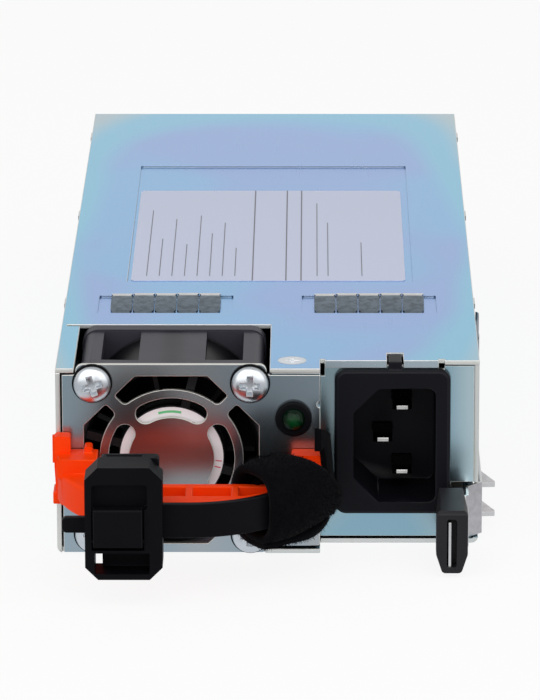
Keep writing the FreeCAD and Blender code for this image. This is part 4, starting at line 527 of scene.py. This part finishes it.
# eased edges: lengths as shares of the rounding's width, angles in degrees
easing = {"segments": 2, "shortest": 0.5, "stray": 0.75, "tries": 8, "clear": 3, "clearStep": 2, "flat": 1.0,
          "foldShare": 1.01, "foldArea": 0.02, "opposed": -0.5, "level": 0.9}


def flatFaces(piece):
    # large faces keep their own normal beside the rounded edges
    weigh = piece.modifiers.new("flatFaces", "WEIGHTED_NORMAL")
    weigh.keep_sharp = True
    weigh.weight = 100
    return piece


def foldedFaces(work):
    # faces whose triangles cover more than the outline does
    work.faces.index_update()
    cover = [0.0] * len(work.faces)
    for loops in work.calc_loop_triangles():
        cover[loops[0].face.index] += area_tri(*[loop.vert.co for loop in loops])
    spare = easing["foldArea"] * mm * mm
    return [face for face in work.faces if len(face.verts) > 4
            and cover[face.index] > easing["foldShare"] * face.calc_area() + spare]


def markEdges(work, cut):
    # narrow faces: a sheared edge lies between two sides of the sheet, and a pressed step between two levels of one
    layers = work.faces.layers.float
    for label in ("wearAndHighlight", "stepShade"):
        if label not in layers:
            layers.new(label)
    wearAndHighlight, stepShade = layers["wearAndHighlight"], layers["stepShade"]
    narrow = {face for face in work.faces if 2 * face.calc_area() < cut * mm * face.calc_perimeter()}
    for face in narrow:
        sides = list({other for edge in face.edges for other in edge.link_faces if other not in narrow})
        facing = [a.normal.dot(b.normal) for i, a in enumerate(sides) for b in sides[:i]]
        face[wearAndHighlight] = float(any(turn < easing["opposed"] for turn in facing))
        # a pressed step gets the mark for painted shade
        face[stepShade] = float(not face[wearAndHighlight] and any(turn > easing["level"] for turn in facing))


def softEdges(piece, width, cut=0.0):
    # rounds the sharp edges, and leaves out those whose rounding would run off the surface or fold a face
    base = bmesh.new()
    base.from_mesh(piece.data)
    surface = BVHTree.FromBMesh(base)
    offset = width * mm
    flat, sharp = math.radians(easing["flat"]), math.radians(sharpFrom["cad"])
    keep = [edge.index for edge in base.edges if len(edge.link_faces) == 2
            and edge.calc_face_angle() > sharp and edge.calc_length() > easing["shortest"] * offset]
    markEdges(base, cut)
    for face in base.faces:
        face.smooth = any(flat < edge.calc_face_angle(0.0) < sharp for edge in face.edges)
    for attempt in range(easing["tries"]):
        trial = base.copy()
        trial.edges.ensure_lookup_table()
        made = bmesh.ops.bevel(trial, geom=[trial.edges[i] for i in keep], offset=offset, profile=0.5,
                               segments=easing["segments"], affect="EDGES", clamp_overlap=False)
        wearAndHighlight = trial.faces.layers.float["wearAndHighlight"]
        for face in made["faces"]:
            face[wearAndHighlight] = 1.0
            face.smooth = True
        strays = [vert for vert in trial.verts if surface.find_nearest(vert.co)[3] > easing["stray"] * offset]
        near = [edge.other_vert(vert).co.copy() for vert in strays for edge in vert.link_edges]
        near += [vert.co.copy() for face in foldedFaces(trial) for vert in face.verts]
        if not near:
            break
        tree = KDTree(len(near))
        for i, place in enumerate(near):
            tree.insert(place, i)
        tree.balance()
        base.edges.ensure_lookup_table()
        reach = (easing["clear"] + easing["clearStep"] * attempt) * offset
        keep = [i for i in keep if min(tree.find(vert.co)[2] for vert in base.edges[i].verts) > reach]
        trial.free()
    else:
        trial = base.copy()
        print("  edges left sharp:", piece.name)
    trial.to_mesh(piece.data)
    trial.free()
    base.free()
    piece.data.set_sharp_from_angle(angle=sharp)
    return piece


def softened(name, node, finish, width, cut=0.0):
    piece = newPiece(name, smoothed(mergedCopy(node), "cad"), finish)
    if width:
        softEdges(piece, width, cut)
    return settle(flatFaces(piece), node)


# sheet metal and mouldings whose CAD shape is right: node, finish and width of the eased edges
sheetThick = 1.05
sheetPieces = {"topCover": ("top_cover", "cover", 0.16), "trayShell": ("chassis_tray", "wall", 0.20),
               "fanGuard": ("front_panel", "panel", 0.14), "inletPanel": ("inlet_panel", "sidePanel", 0.12),
               "rearPanel": ("rear_panel", "wall", 0.10), "latchLeaf": ("latch_spring", "spring", 0.08),
               "coverScrew": ("cover_screw", "chrome", 0.06), "latchRivets": ("latch_rivets", "chrome", 0.08)}
mouldedPieces = {"fanFrame": ("fan_frame", "fan", 0.22), "pullHandle": ("pull_handle", "orange", 0.28),
                 "ratchetTie": ("strap_tie", "black", 0.18), "cordClamp": ("cord_clamp", "black", 0.18),
                 "clampTongue": ("clamp_tongue", "black", 0.18), "latchGrip": ("latch_grip", "grip", 0.15),
                 "inletBody": ("inlet_body", "inlet", 0.25), "inletPins": ("inlet_pins", "pin", 0.12),
                 "fanWashers": ("fan_washers", "rubber", 0.0), "lampBezel": ("led_bezel", "black", 0.0),
                 "lampLens": ("led_lens", "lens", 0.0)}
for name, (node, finish, width) in sheetPieces.items():
    softened(name, node, finish, width, sheetThick)
for name, (node, finish, width) in mouldedPieces.items():
    softened(name, node, finish, width)
openJoint = {"below": 0.3, "rise": 0.45}        # between the inlet panel's foot and the tray's front lip
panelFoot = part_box("inlet_panel")[0].z
for vert in bpy.data.objects["inletPanel"].data.vertices:
    if vert.co.z < panelFoot + openJoint["below"] * mm:
        vert.co.z += openJoint["rise"] * mm
print("eased copies:", len(sheetPieces) + len(mouldedPieces))

# inner pieces and labels keep their CAD mesh and get a finish
innerFinish = {
    "rating_label": "label", "fan_label": "hubLabel", "fan_magnet": "core", "fan_shaft": "chrome",
    "fan_bearings": "chrome", "fan_stator": "core", "fan_coils": "copper", "fan_lead": "jacket",
    "inlet_wires": "jacket", "led_wires": "jacket", "tongue_pin": "black", "circuit_board": "board",
    "board_standoffs": "contact", "board_screws": "chrome", "insulator_sheet": "film", "edge_contacts": "gilt",
    "bulk_capacitors": "sleeve", "line_chokes": "core", "choke_windings": "copper", "line_capacitors": "resin",
    "fuse_tube": "contact", "bridge_rectifier": "resin", "heatsink_primary": "alloy", "heatsink_output": "alloy",
    "power_transistors": "resin", "pfc_choke": "copper", "output_choke": "copper", "transformer_core": "core",
    "transformer_winding": "copper", "output_capacitors": "sleeve", "control_card": "board", "fan_header": "resin"}
for node, finish in innerFinish.items():
    mesh = frame["nodes"][node].data
    mesh.materials.clear()
    mesh.materials.append(finishes[finish])
print("inner pieces:", len(innerFinish))


# fan screws: one pan head with a crossed recess, set at the four corners
screw = {"radius": 3.8, "rise": 2.3, "rim": 0.7, "crown": 0.9, "crownSteps": 9, "foot": 0.12, "shank": 1.45,
         "shankLength": 5.0, "sides": 48, "armLength": 2.5, "armWidth": 1.35, "over": 0.6, "recess": 1.5,
         "turn": 0.35, "ease": 0.06, "seed": 4,
         # share of the arm's length and width at the top and the bottom of the recess
         "armTop": (1.0, 1.1), "armBottom": (0.6, 0.75)}


def screwProfile():
    radius, rise, rim = screw["radius"], screw["rise"], screw["rim"]
    profile = [(0.0, rise)]
    for i in range(1, screw["crownSteps"] + 1):
        angle = math.pi / 2 * i / screw["crownSteps"]
        profile.append((radius * math.sin(angle) ** screw["crown"], rim + (rise - rim) * math.cos(angle)))
    return profile + [(radius, screw["foot"]), (radius - screw["foot"], 0.0), (screw["shank"], 0.0),
                      (screw["shank"], -screw["shankLength"]), (0.0, -screw["shankLength"])]


def screwHead():
    head = newPiece("screwHead", turned(screwProfile(), screw["sides"]), "chrome")
    cross = bmesh.new()
    for quarter in range(2):
        arm = bmesh.ops.create_cube(cross, size=2.0 * mm)["verts"]
        for vert in arm:
            top = vert.co.z > 0
            length, width = screw["armTop"] if top else screw["armBottom"]
            vert.co.x *= screw["armLength"] * length
            vert.co.y *= screw["armWidth"] / 2 * width
            vert.co.z = (screw["rise"] + (screw["over"] if top else -screw["recess"])) * mm
        bmesh.ops.rotate(cross, verts=arm, cent=(0, 0, 0), matrix=Matrix.Rotation(quarter * math.pi / 2, 3, "Z"))
    cutter = newPiece("screwCross", meshFrom(cross), "chrome")
    carve = head.modifiers.new("recess", "BOOLEAN")
    carve.object = cutter
    carve.solver = "EXACT"
    carve.use_self = True
    mesh = evaluated(head).data
    mesh.transform(Matrix.Rotation(math.pi / 2, 4, "X"))
    bpy.data.objects.remove(head)
    bpy.data.objects.remove(cutter)
    return mesh


def screwCorners(net, given):
    grid = net.add("GeometryNodeMeshGrid", links={"Vertices X": 2, "Vertices Y": 2, "Size X": given.out("Pitch"),
                                                  "Size Y": given.out("Pitch")})
    corners = net.add("GeometryNodeTransform", links={"Geometry": grid, "Rotation": (math.pi / 2, 0, 0),
                                                      "Translation": given.out("Centre")})
    turn = net.add("FunctionNodeRandomValue", {"data_type": "FLOAT_VECTOR"},
                   {0: (0, -screw["turn"], 0), 1: (0, screw["turn"], 0), "Seed": given.out("Seed")})
    return net.add("GeometryNodeInstanceOnPoints",
                   links={"Points": corners, "Instance": given.out("Geometry"), "Rotation": turn})


low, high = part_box("fan_screws")
pitch = high.x - low.x - 2 * screw["radius"] * mm
low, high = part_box("fan_washers")
middle = (low + high) / 2
screws = grow("fanScrews", screwHead(), "chrome", screwCorners,
              {"Pitch": pitch, "Centre": (middle.x, low.y, middle.z), "Seed": screw["seed"]})
smoothed(screws.data, "made")
settle(softEdges(screws, screw["ease"]), "fan_screws")
print("fan screws: pitch", round(pitch / mm, 2), "mm")


# spring gaskets: one finger, repeated along each strip
gasket = {"fingers": 5, "gap": 0.16, "sheet": 0.20, "seed": 3, "lowest": 0.84, "crestHighlightFrom": 0.79, "crestHighlightTo": 0.97,
          # along the finger: share of its depth, share of its rise, waist cut from each side in mm
          "profile": ((0.00, 0.06, 0.42), (0.09, 0.18, 0.42), (0.14, 0.26, 0.04), (0.40, 0.55, 0.0),
                      (0.66, 0.84, 0.0), (0.74, 0.92, 0.05), (0.79, 0.96, 0.30), (0.84, 0.99, 0.30),
                      (0.88, 1.00, 0.05), (0.93, 0.98, 0.0), (0.97, 0.86, 0.0), (1.00, 0.55, 0.0))}


def gasketFinger(width, depth, rise):
    # a tongue with a narrow root that slopes up to a rolled crest, and a relief notch beside the crest; the crest is
    # painted paler, a painted highlight
    work = bmesh.new()
    wearAndHighlight = work.faces.layers.float.new("wearAndHighlight")
    rings = []
    for along, up, waist in gasket["profile"]:
        half = width / 2 - waist * mm
        under = max(up * rise - gasket["sheet"] * mm, 0.0)
        rings.append([work.verts.new((x, along * depth, z)) for x, z in
                      ((-half, up * rise), (half, up * rise), (half, under), (-half, under))])
    for station, ring, after in zip(gasket["profile"], rings, rings[1:]):
        for i in range(4):
            face = work.faces.new((ring[i], ring[(i + 1) % 4], after[(i + 1) % 4], after[i]))
            # the crest's band gets the same mark as worn edges and is painted paler: a painted highlight
            face[wearAndHighlight] = float(gasket["crestHighlightFrom"] <= station[0] < gasket["crestHighlightTo"])
    work.faces.new(rings[0])
    work.faces.new(rings[-1])
    return meshFrom(work)


def fingerRow(net, given):
    row = net.add("GeometryNodeMeshLine", links={"Count": given.out("Fingers"), "Start Location": given.out("Start"),
                                                 "Offset": given.out("Step")})
    press = net.add("FunctionNodeRandomValue", {"data_type": "FLOAT_VECTOR"},
                    {0: (1.0, 1.0, gasket["lowest"]), 1: (1.0, 1.0, 1.0), "Seed": given.out("Seed")})
    return net.add("GeometryNodeInstanceOnPoints", links={"Points": row, "Instance": given.out("Geometry"),
                                                          "Rotation": given.out("Turn"), "Scale": press})


for name, node, onSide in (("gasketLeft", "gasket_left", False), ("gasketRight", "gasket_right", False),
                           ("gasketSide", "gasket_side", True)):
    low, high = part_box(node)
    size = high - low
    length, rise = (size.z, size.x) if onSide else (size.x, size.z)
    step = length / gasket["fingers"]
    finger = gasketFinger(step - gasket["gap"] * mm, size.y, rise)
    if onSide:
        row = {"Start": (low.x, low.y, high.z - step / 2), "Step": (0.0, 0.0, -step), "Turn": (0.0, math.pi / 2, 0.0)}
    else:
        row = {"Start": (low.x + step / 2, low.y, low.z), "Step": (step, 0.0, 0.0), "Turn": (0.0, 0.0, 0.0)}
    strip = grow(name, finger, "gasket", fingerRow, dict(row, Fingers=gasket["fingers"], Seed=gasket["seed"]))
    smoothed(strip.data, "made")
    settle(strip, node)
print("gaskets: three strips of", gasket["fingers"])


# rotor: a turned cup and one twisted blade, repeated round the shaft
rotor = {"blades": 7, "sweep": 48.0, "curl": 1.25, "lean": 6.0, "tip": 17.1, "hub": 11.0, "root": 0.3, "thick": 1.0,
         "inset": 0.7, "stations": 12, "spans": 5, "wall": 1.2, "round": 1.6, "roundSteps": 6, "sides": 64,
         "dish": (4.0, 3.6, 0.3)}        # radius at the rim and at the floor, depth


def rotorBlade(front, back):
    work = bmesh.new()
    grid = []
    inset = rotor["inset"] * mm
    start = rotor["hub"] - rotor["root"]
    for i in range(rotor["stations"]):
        part = i / (rotor["stations"] - 1)
        y = front + inset + part * (back - front - 2 * inset)
        row = []
        for j in range(rotor["spans"]):
            reach = j / (rotor["spans"] - 1)
            radius = (start + (rotor["tip"] - start) * reach) * mm
            bow = rotor["lean"] * reach * math.sin(math.pi * part)
            angle = math.radians(rotor["sweep"] * part ** rotor["curl"] - bow)
            row.append(work.verts.new((radius * math.cos(angle), y, radius * math.sin(angle))))
        grid.append(row)
    gridFaces(work, grid)
    blade = walled(newPiece("rotorBlade", meshFrom(work), "blade"), rotor["thick"])
    mesh = blade.data
    bpy.data.objects.remove(blade)
    return mesh


def bladeRing(net, given):
    count = given.out("Blades")
    shafts = net.add("GeometryNodePoints", links={"Count": count, "Position": given.out("Axis")})
    turn = net.add("GeometryNodeInputIndex") * math.tau / count
    heading = net.add("ShaderNodeCombineXYZ", links={"Y": turn})
    return net.add("GeometryNodeInstanceOnPoints",
                   links={"Points": shafts, "Instance": given.out("Geometry"), "Rotation": heading})


def rotorCup(depth):
    # open at one end, with a rounded and dished closed end
    outer, wall, curve = rotor["hub"], rotor["wall"], rotor["round"]
    rim, floor, dip = rotor["dish"]
    profile = [(outer - wall, 0.0), (outer, 0.0)]
    for i in range(rotor["roundSteps"] + 1):
        angle = math.pi / 2 * i / rotor["roundSteps"]
        profile.append((outer - curve + curve * math.cos(angle), depth - curve + curve * math.sin(angle)))
    profile += [(rim, depth), (floor, depth - dip), (0.0, depth - dip), (0.0, depth - wall),
                (outer - wall, depth - wall), (outer - wall, 0.0)]
    return turned(profile, rotor["sides"])


low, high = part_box("fan_rotor")
shaftLow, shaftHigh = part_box("fan_shaft")
axis = (shaftLow + shaftHigh) / 2
blades = grow("rotorBlades", rotorBlade(low.y, high.y), "blade", bladeRing,
              {"Blades": rotor["blades"], "Axis": (axis.x, 0.0, axis.z)})
smoothed(blades.data, "made")
attach(blades, "fan_rotor")
cup = rotorCup((high.y - low.y) / mm)
cup.transform(Matrix.Translation((axis.x, low.y, axis.z)) @ Matrix.Rotation(-math.pi / 2, 4, "X"))
settle(newPiece("rotorCup", smoothed(cup, "made"), "blade"), "fan_rotor")
print("rotor:", rotor["blades"], "blades")


# rating label: plain rules, with ends as shares of the label's depth
labelRules = {"thick": 0.03, "wide": 0.28, "fine": 0.196, "full": (-3.9, 3.4, 6.7), "foot": 0.05,
              "first": -27.0, "pitch": 2.75, "lengths": (0.72, 0.40, 0.62, 0.34, 0.66, 0.46, 0.58, 0.30),
              "right": ((10.2, 0.85), (12.6, 0.63), (20.0, 0.41))}


def labelStrokes():
    low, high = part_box("rating_label")
    depth, foot, fine = high.y - low.y, labelRules["foot"], labelRules["fine"]
    strokes = [(x, 0.0, 1.0, labelRules["wide"]) for x in labelRules["full"]]
    strokes += [(labelRules["first"] + i * labelRules["pitch"], foot, foot + length, fine)
                for i, length in enumerate(labelRules["lengths"])]
    strokes += [(x, foot, end, fine) for x, end in labelRules["right"]]
    work = bmesh.new()
    for x, start, end, width in strokes:
        boxInto(work, ((x - width / 2) * mm, low.y + depth * start, high.z),
                ((x + width / 2) * mm, low.y + depth * end, high.z + labelRules["thick"] * mm))
    return meshFrom(work)


attach(newPiece("labelRules", labelStrokes(), "ink"), "rating_label")

# fan hub label: printed marks as start and end in degrees, inner and outer radius
hubMarks = {"thick": 0.04, "step": 4.0, "bar": ((78.0, 106.0, 9.5, 10.0),),
            "ticks": ((-6.0, -4.6, 9.1, 10.4), (-14.0, -12.6, 9.1, 10.4))}


def hubMark(spans):
    low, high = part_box("fan_label")
    hub = (low + high) / 2
    work = bmesh.new()
    for start, end, inner, outer in spans:
        steps = max(int((end - start) / hubMarks["step"]), 1)
        angles = [math.radians(start + (end - start) * i / steps) for i in range(steps + 1)]
        rings = [[work.verts.new((hub.x + radius * mm * math.cos(angle), y, hub.z + radius * mm * math.sin(angle)))
                  for angle in angles]
                 for y in (low.y, low.y - hubMarks["thick"] * mm) for radius in (inner, outer)]
        for i in range(steps):
            for a, b in ((0, 1), (1, 3), (3, 2), (2, 0)):
                work.faces.new((rings[a][i], rings[a][i + 1], rings[b][i + 1], rings[b][i]))
        for i in (0, steps):
            work.faces.new([rings[a][i] for a in (0, 1, 3, 2)])
    return meshFrom(work)


attach(newPiece("hubBarGreen", hubMark(hubMarks["bar"]), "greenInk"), "fan_label")
attach(newPiece("hubTicksRed", hubMark(hubMarks["ticks"]), "redInk"), "fan_label")
print("label strokes done")


# tie teeth: a small rib repeated along the tie's rear face
tie = {"start": 6.9, "back": 1.4, "bowX": -16.2, "bendR": 23.57, "bend": 50.0, "bendSteps": 12, "pitch": 1.05,
       "tooth": (0.5, 0.2, 4.6)}


def tiePath():
    low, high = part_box("strap_tie")
    back, bowX, bendR = low.y + tie["back"] * mm, tie["bowX"] * mm, tie["bendR"] * mm
    places = [(low.x + tie["start"] * mm, back)]
    for i in range(tie["bendSteps"] + 1):
        angle = math.radians(tie["bend"]) * i / tie["bendSteps"]
        places.append((bowX + bendR * math.sin(angle), back + bendR * (1 - math.cos(angle))))
    work = bmesh.new()
    verts = [work.verts.new((x, y, (low.z + high.z) / 2)) for x, y in places]
    for pair in zip(verts, verts[1:]):
        work.edges.new(pair)
    return plainMesh(work)


def toothRun(net, given):
    path = net.add("GeometryNodeMeshToCurve", links={0: given.out("Geometry")})
    stops = net.add("GeometryNodeCurveToPoints", {"mode": "LENGTH"}, {"Curve": path, "Length": given.out("Pitch")})
    tooth = net.add("GeometryNodeMeshCube", links={"Size": given.out("Tooth")})
    turn = net.add("FunctionNodeAlignRotationToVector", {"axis": "X"}, {"Vector": stops.out("Tangent")})
    return net.add("GeometryNodeInstanceOnPoints", links={"Points": stops, "Instance": tooth, "Rotation": turn})


teeth = grow("tieTeeth", tiePath(), "black", toothRun,
             {"Pitch": tie["pitch"] * mm, "Tooth": tuple(part * mm for part in tie["tooth"])})
attach(teeth, "strap_tie")
print("tie teeth done")


# hook-and-loop strap: a band wound round the bar and tie, then over itself
strap = {"bowX": -16.2, "from": 33.5, "to": 76.0, "inset": 14.0, "lean": 15.0, "spread": 6.0, "thick": 1.6,
         "innerTurn": 0.95, "blend": 0.45, "outerTurn": 1.12, "endAt": -62.0, "sink": 0.45, "bulge": 0.3,
         "wave": 0.3, "waves": ((5.0, 23.0), (9.0, -41.0)), "probe": 0.001, "rows": 150, "columns": 12,
         # radius from the bow's centre, height, half width, half height, squareness
         "inner": (25.89, 16.86, 4.6, 4.8, 4.2), "outer": (24.3, 17.0, 7.1, 7.2, 2.8), "flat": (0.0185, 0.105)}
strapTurns = strap["innerTurn"] + strap["blend"] + strap["outerTurn"]


def strapSection(part):
    # radius from the bow's centre and height, along the wound band
    at = part * strapTurns
    mixed = min(max((at - strap["innerTurn"]) / strap["blend"], 0.0), 1.0)
    mixed = mixed * mixed * (3 - 2 * mixed)
    r, z, a, b, square = [i + (o - i) * mixed for i, o in zip(strap["inner"], strap["outer"])]
    over = max(at - strap["innerTurn"] - strap["blend"], 0.0) / strap["outerTurn"]
    swell = strap["thick"] * ((over if mixed == 1.0 else 0.0) - strap["sink"] * mixed)
    angle = math.radians(strap["endAt"]) + math.tau * (at - strapTurns)
    out, up = [math.copysign(abs(share) ** (2 / square), share) for share in (math.cos(angle), math.sin(angle))]
    return r + (a + swell) * out, z + (b + swell) * up, mixed


def strapPoint(part, side, lift):
    r, z, mixed = strapSection(part)
    ahead = strapSection(part + strap["probe"])
    along = Vector((ahead[0] - r, ahead[1] - z))
    normal = Vector((along.y, -along.x)).normalized()
    middle, half = strap["outer"][1], strap["outer"][3]
    upper = max((z - middle) / half, 0.0)
    lower = max((middle - z) / half, 0.0)
    first = strap["from"] + strap["inset"] * (1.0 - mixed)
    last = strap["to"] - strap["lean"] * upper + strap["spread"] * lower * mixed
    heading = math.radians(first + (last - first) * side)
    ripple = strap["wave"] * mixed * sum(math.sin(side * a + part * b) for a, b in strap["waves"]) / 2
    out = lift + ripple + strap["bulge"] * mixed * math.sin(math.pi * side)
    r += normal.x * out
    z += normal.y * out
    return Vector((strap["bowX"] * mm + r * mm * math.sin(heading), frontY - r * mm * math.cos(heading), z * mm))


def strapGrid(first, lift, rows, columns):
    # the band from a share of its length to its end
    work = bmesh.new()
    gridFaces(work, [[work.verts.new(strapPoint(first + (1.0 - first) * i / rows, j / columns, lift))
                      for j in range(columns + 1)] for i in range(rows + 1)])
    return plainMesh(work)


# the strap's free end stands beside the step of the front, and clears the handle's end past openFrom
tail = {"path": ((12.3, 5.5), (12.6, -2.5), (10.2, -9.6)), "low": 9.6, "high": 24.0, "rise": 6.1, "flare": 1.3,
        "openFrom": 0.62, "openTo": 0.74, "open": 25.2, "thick": 1.2, "rows": 14, "columns": 12,
        "flat": (0.0157, 0.0145)}


def tailGrid():
    work = bmesh.new()
    start, middle, end = [Vector(place) for place in tail["path"]]
    grid = []
    for i in range(tail["rows"] + 1):
        part = i / tail["rows"]
        place = start * (1 - part) ** 2 + middle * 2 * part * (1 - part) + end * part ** 2
        top = tail["high"] + tail["rise"] * part
        clear = min(max((part - tail["openFrom"]) / (tail["openTo"] - tail["openFrom"]), 0.0), 1.0)
        foot = tail["low"] + (tail["open"] - tail["low"]) * clear
        row = []
        for j in range(tail["columns"] + 1):
            z = foot + (top - foot) * j / tail["columns"]
            flare = tail["flare"] * (top - z) / (top - tail["low"]) * (1.0 - clear)
            row.append(work.verts.new(((place.x + flare) * mm, frontY + place.y * mm, z * mm)))
        grid.append(row)
    gridFaces(work, grid)
    return plainMesh(work)


# pile on the outer turn: three-sided hairs
hairs = {"density": 5.0e6, "length": 0.8, "radius": 0.05, "lean": 0.9, "shortest": 0.45, "longest": 1.3, "seed": 11,
         "blendFrom": 0.6, "rows": 90, "columns": 14}


def fibrePile(net, given):
    points = net.add("GeometryNodeDistributePointsOnFaces", links={"Mesh": given.out("Geometry"),
                                                                   "Density": given.out("Density"),
                                                                   "Seed": given.out("Seed")})
    hair = net.add("GeometryNodeMeshCone", {"fill_type": "NONE"},
                   {"Vertices": 3, "Side Segments": 1, "Radius Top": 0.0, "Radius Bottom": given.out("Hair"),
                    "Depth": given.out("Length")})
    lean = net.add("FunctionNodeRandomValue", {"data_type": "FLOAT_VECTOR"},
                   {0: (-hairs["lean"], -hairs["lean"], 0.0), 1: (hairs["lean"], hairs["lean"], math.tau),
                    "Seed": given.out("Seed")})
    size = net.add("FunctionNodeRandomValue", {"data_type": "FLOAT"},
                   {2: hairs["shortest"], 3: hairs["longest"], "Seed": given.out("Seed")}, out=1)
    stood = net.add("GeometryNodeInstanceOnPoints", links={"Points": points, "Instance": hair,
                                                           "Rotation": points.out("Rotation"), "Scale": size})
    return net.add("GeometryNodeRotateInstances", links={"Instances": stood, "Rotation": lean})


freeEnd = walled(newPiece("strapTail", tailGrid(), "pile"), tail["thick"])
wound = strapGrid(0.0, 0.0, strap["rows"], strap["columns"])
band = walled(newPiece("hookLoopStrap", wound, "pile"), strap["thick"])
for sheet in (freeEnd, band):
    sheet.data.shade_smooth()
outerFrom = (strap["innerTurn"] + strap["blend"] * hairs["blendFrom"]) / strapTurns
pileBase = strapGrid(outerFrom, strap["thick"] / 2, hairs["rows"], hairs["columns"])
pile = grow("strapPile", pileBase, "pile", fibrePile,
            {"Density": hairs["density"], "Length": hairs["length"] * mm, "Hair": hairs["radius"] * mm,
             "Seed": hairs["seed"]})
settle(band, "hook_loop_strap")
attach(pile, "hook_loop_strap")
attach(freeEnd, "hook_loop_strap")
print("strap:", len(pile.data.polygons), "pile faces")


# stage: pale floor, soft lights, camera at the photograph's angle; lengths in metres
stage = {"size": 4.0, "drop": 0.00005, "pale": 0.90, "glow": 0.88, "tint": (0.97, 1.0, 1.04),
         # what the floor shows in a mirror, a painted reflection: a glow beside the object, a painted shadow in front
         # of the fan, and a paler glow to the sides
         "nearGloss": 0.70, "frontShadowGloss": 0.28, "sideGloss": 0.55, "fadeFrom": 0.005, "fadeTo": 0.065,
         "frontShadowX": -0.012, "frontShadowHalf": 0.018, "frontShadowBlur": 0.022,
         # what the sky shows in a mirror: a band low behind the object, and the rest
         "ambient": 0.45, "bandGloss": 0.92, "skyGloss": 0.50, "bandFrom": 0.30, "bandTo": 0.62,
         "behindFrom": -0.2, "behindTo": 0.5}


def floorFinish():
    material = bpy.data.materials.new("paleFloor")
    material.use_nodes = True
    net = Net(material.node_tree)
    net.tree.nodes.clear()
    path = net.add("ShaderNodeLightPath")
    shine = (path.out("Is Glossy Ray") + path.out("Is Transmission Ray")).atMost(1.0)
    x = net.axes(net.spot())
    aside = (abs(x) - cadBox[1].x).atLeast(0.0)
    ahead = (abs(x.out("Y")) - cadBox[1].y).atLeast(0.0)
    away = (aside * aside + ahead * ahead) ** 0.5
    fade = net.smooth(away, stage["fadeFrom"], stage["fadeTo"])
    matt = net.add("ShaderNodeBsdfDiffuse", links={"Color": rgb(stage["pale"], stage["pale"], stage["pale"])})
    glow = net.add("ShaderNodeEmission", links={"Color": rgb(1, 1, 1), "Strength": 1.0})
    near, front, side = [rgb(*[level * part for part in stage["tint"]]) for level in
                         (stage["nearGloss"], stage["frontShadowGloss"], stage["sideGloss"])]
    # mirrored rays see the floor glow: a painted reflection, darker in front of the fan as a painted shadow
    clearOfFrontShadow = net.smooth(abs(x - stage["frontShadowX"]), stage["frontShadowHalf"], stage["frontShadowHalf"] + stage["frontShadowBlur"])
    mirrored = net.add("ShaderNodeEmission", links={"Color": net.mix(fade, near, net.mix(clearOfFrontShadow, front, side))})
    seen = net.add("ShaderNodeMixShader", links={0: path.out("Is Camera Ray") * stage["glow"], 1: matt, 2: glow})
    whole = net.add("ShaderNodeMixShader", links={0: shine, 1: seen, 2: mirrored})
    net.add("ShaderNodeOutputMaterial", links={"Surface": whole})
    return material


def addFloor():
    work = bmesh.new()
    bmesh.ops.create_grid(work, x_segments=1, y_segments=1, size=stage["size"])
    mesh = meshFrom(work)
    floor = bpy.data.objects.new("paleFloor", mesh)
    floor.location.z = cadBox[0].z - stage["drop"]
    mesh.materials.append(floorFinish())
    scene.collection.objects.link(floor)


def addWorld():
    world = bpy.data.worlds.new("studio")
    scene.world = world
    world.use_nodes = True
    net = Net(world.node_tree)
    net.tree.nodes.clear()
    path = net.add("ShaderNodeLightPath")
    glossy = path.out("Is Glossy Ray")
    shown = (path.out("Is Camera Ray") + glossy + path.out("Is Transmission Ray")).atMost(1.0)
    ray = net.axes(net.add("ShaderNodeTexCoord", out="Generated"))
    low = 1.0 - net.smooth(ray.out("Z"), stage["bandFrom"], stage["bandTo"])
    behind = net.smooth(ray.out("Y"), stage["behindFrom"], stage["behindTo"])
    mirrored = low * behind * (stage["bandGloss"] - stage["skyGloss"]) + stage["skyGloss"]
    plain = shown * (1.0 - stage["ambient"]) + stage["ambient"]
    strength = plain * (1.0 - glossy) + mirrored * glossy
    sky = net.add("ShaderNodeBackground", links={"Color": rgb(1, 1, 1), "Strength": strength})
    net.add("ShaderNodeOutputWorld", links={"Surface": sky})


# place, size and watts
softLights = {"key": ((-0.50, -1.00, 0.85), 1.9, 12.6), "fill": ((0.75, -0.85, 0.70), 1.35, 5.8)}


def addLights():
    for name, (place, size, power) in softLights.items():
        data = bpy.data.lights.new(name, "AREA")
        data.size = size
        data.energy = power
        lamp = bpy.data.objects.new(name, data)
        lamp.location = place
        lamp.rotation_euler = (-Vector(place)).to_track_quat("-Z", "Y").to_euler()
        scene.collection.objects.link(lamp)


shot = {"place": (0.009131, -1.189933, 0.361184), "turn": (73.646, 0.101, 0.429), "lens": 282.17,
        "clip": (0.05, 50.0)}


def addCamera():
    data = bpy.data.cameras.new("photoCamera")
    data.lens = shot["lens"]
    data.clip_start, data.clip_end = shot["clip"]
    camera = bpy.data.objects.new("photoCamera", data)
    camera.location = shot["place"]
    camera.rotation_euler = [math.radians(part) for part in shot["turn"]]
    scene.collection.objects.link(camera)
    scene.camera = camera


addFloor()
addWorld()
addLights()
addCamera()
scene.view_settings.view_transform = "Standard"
print("stage set")
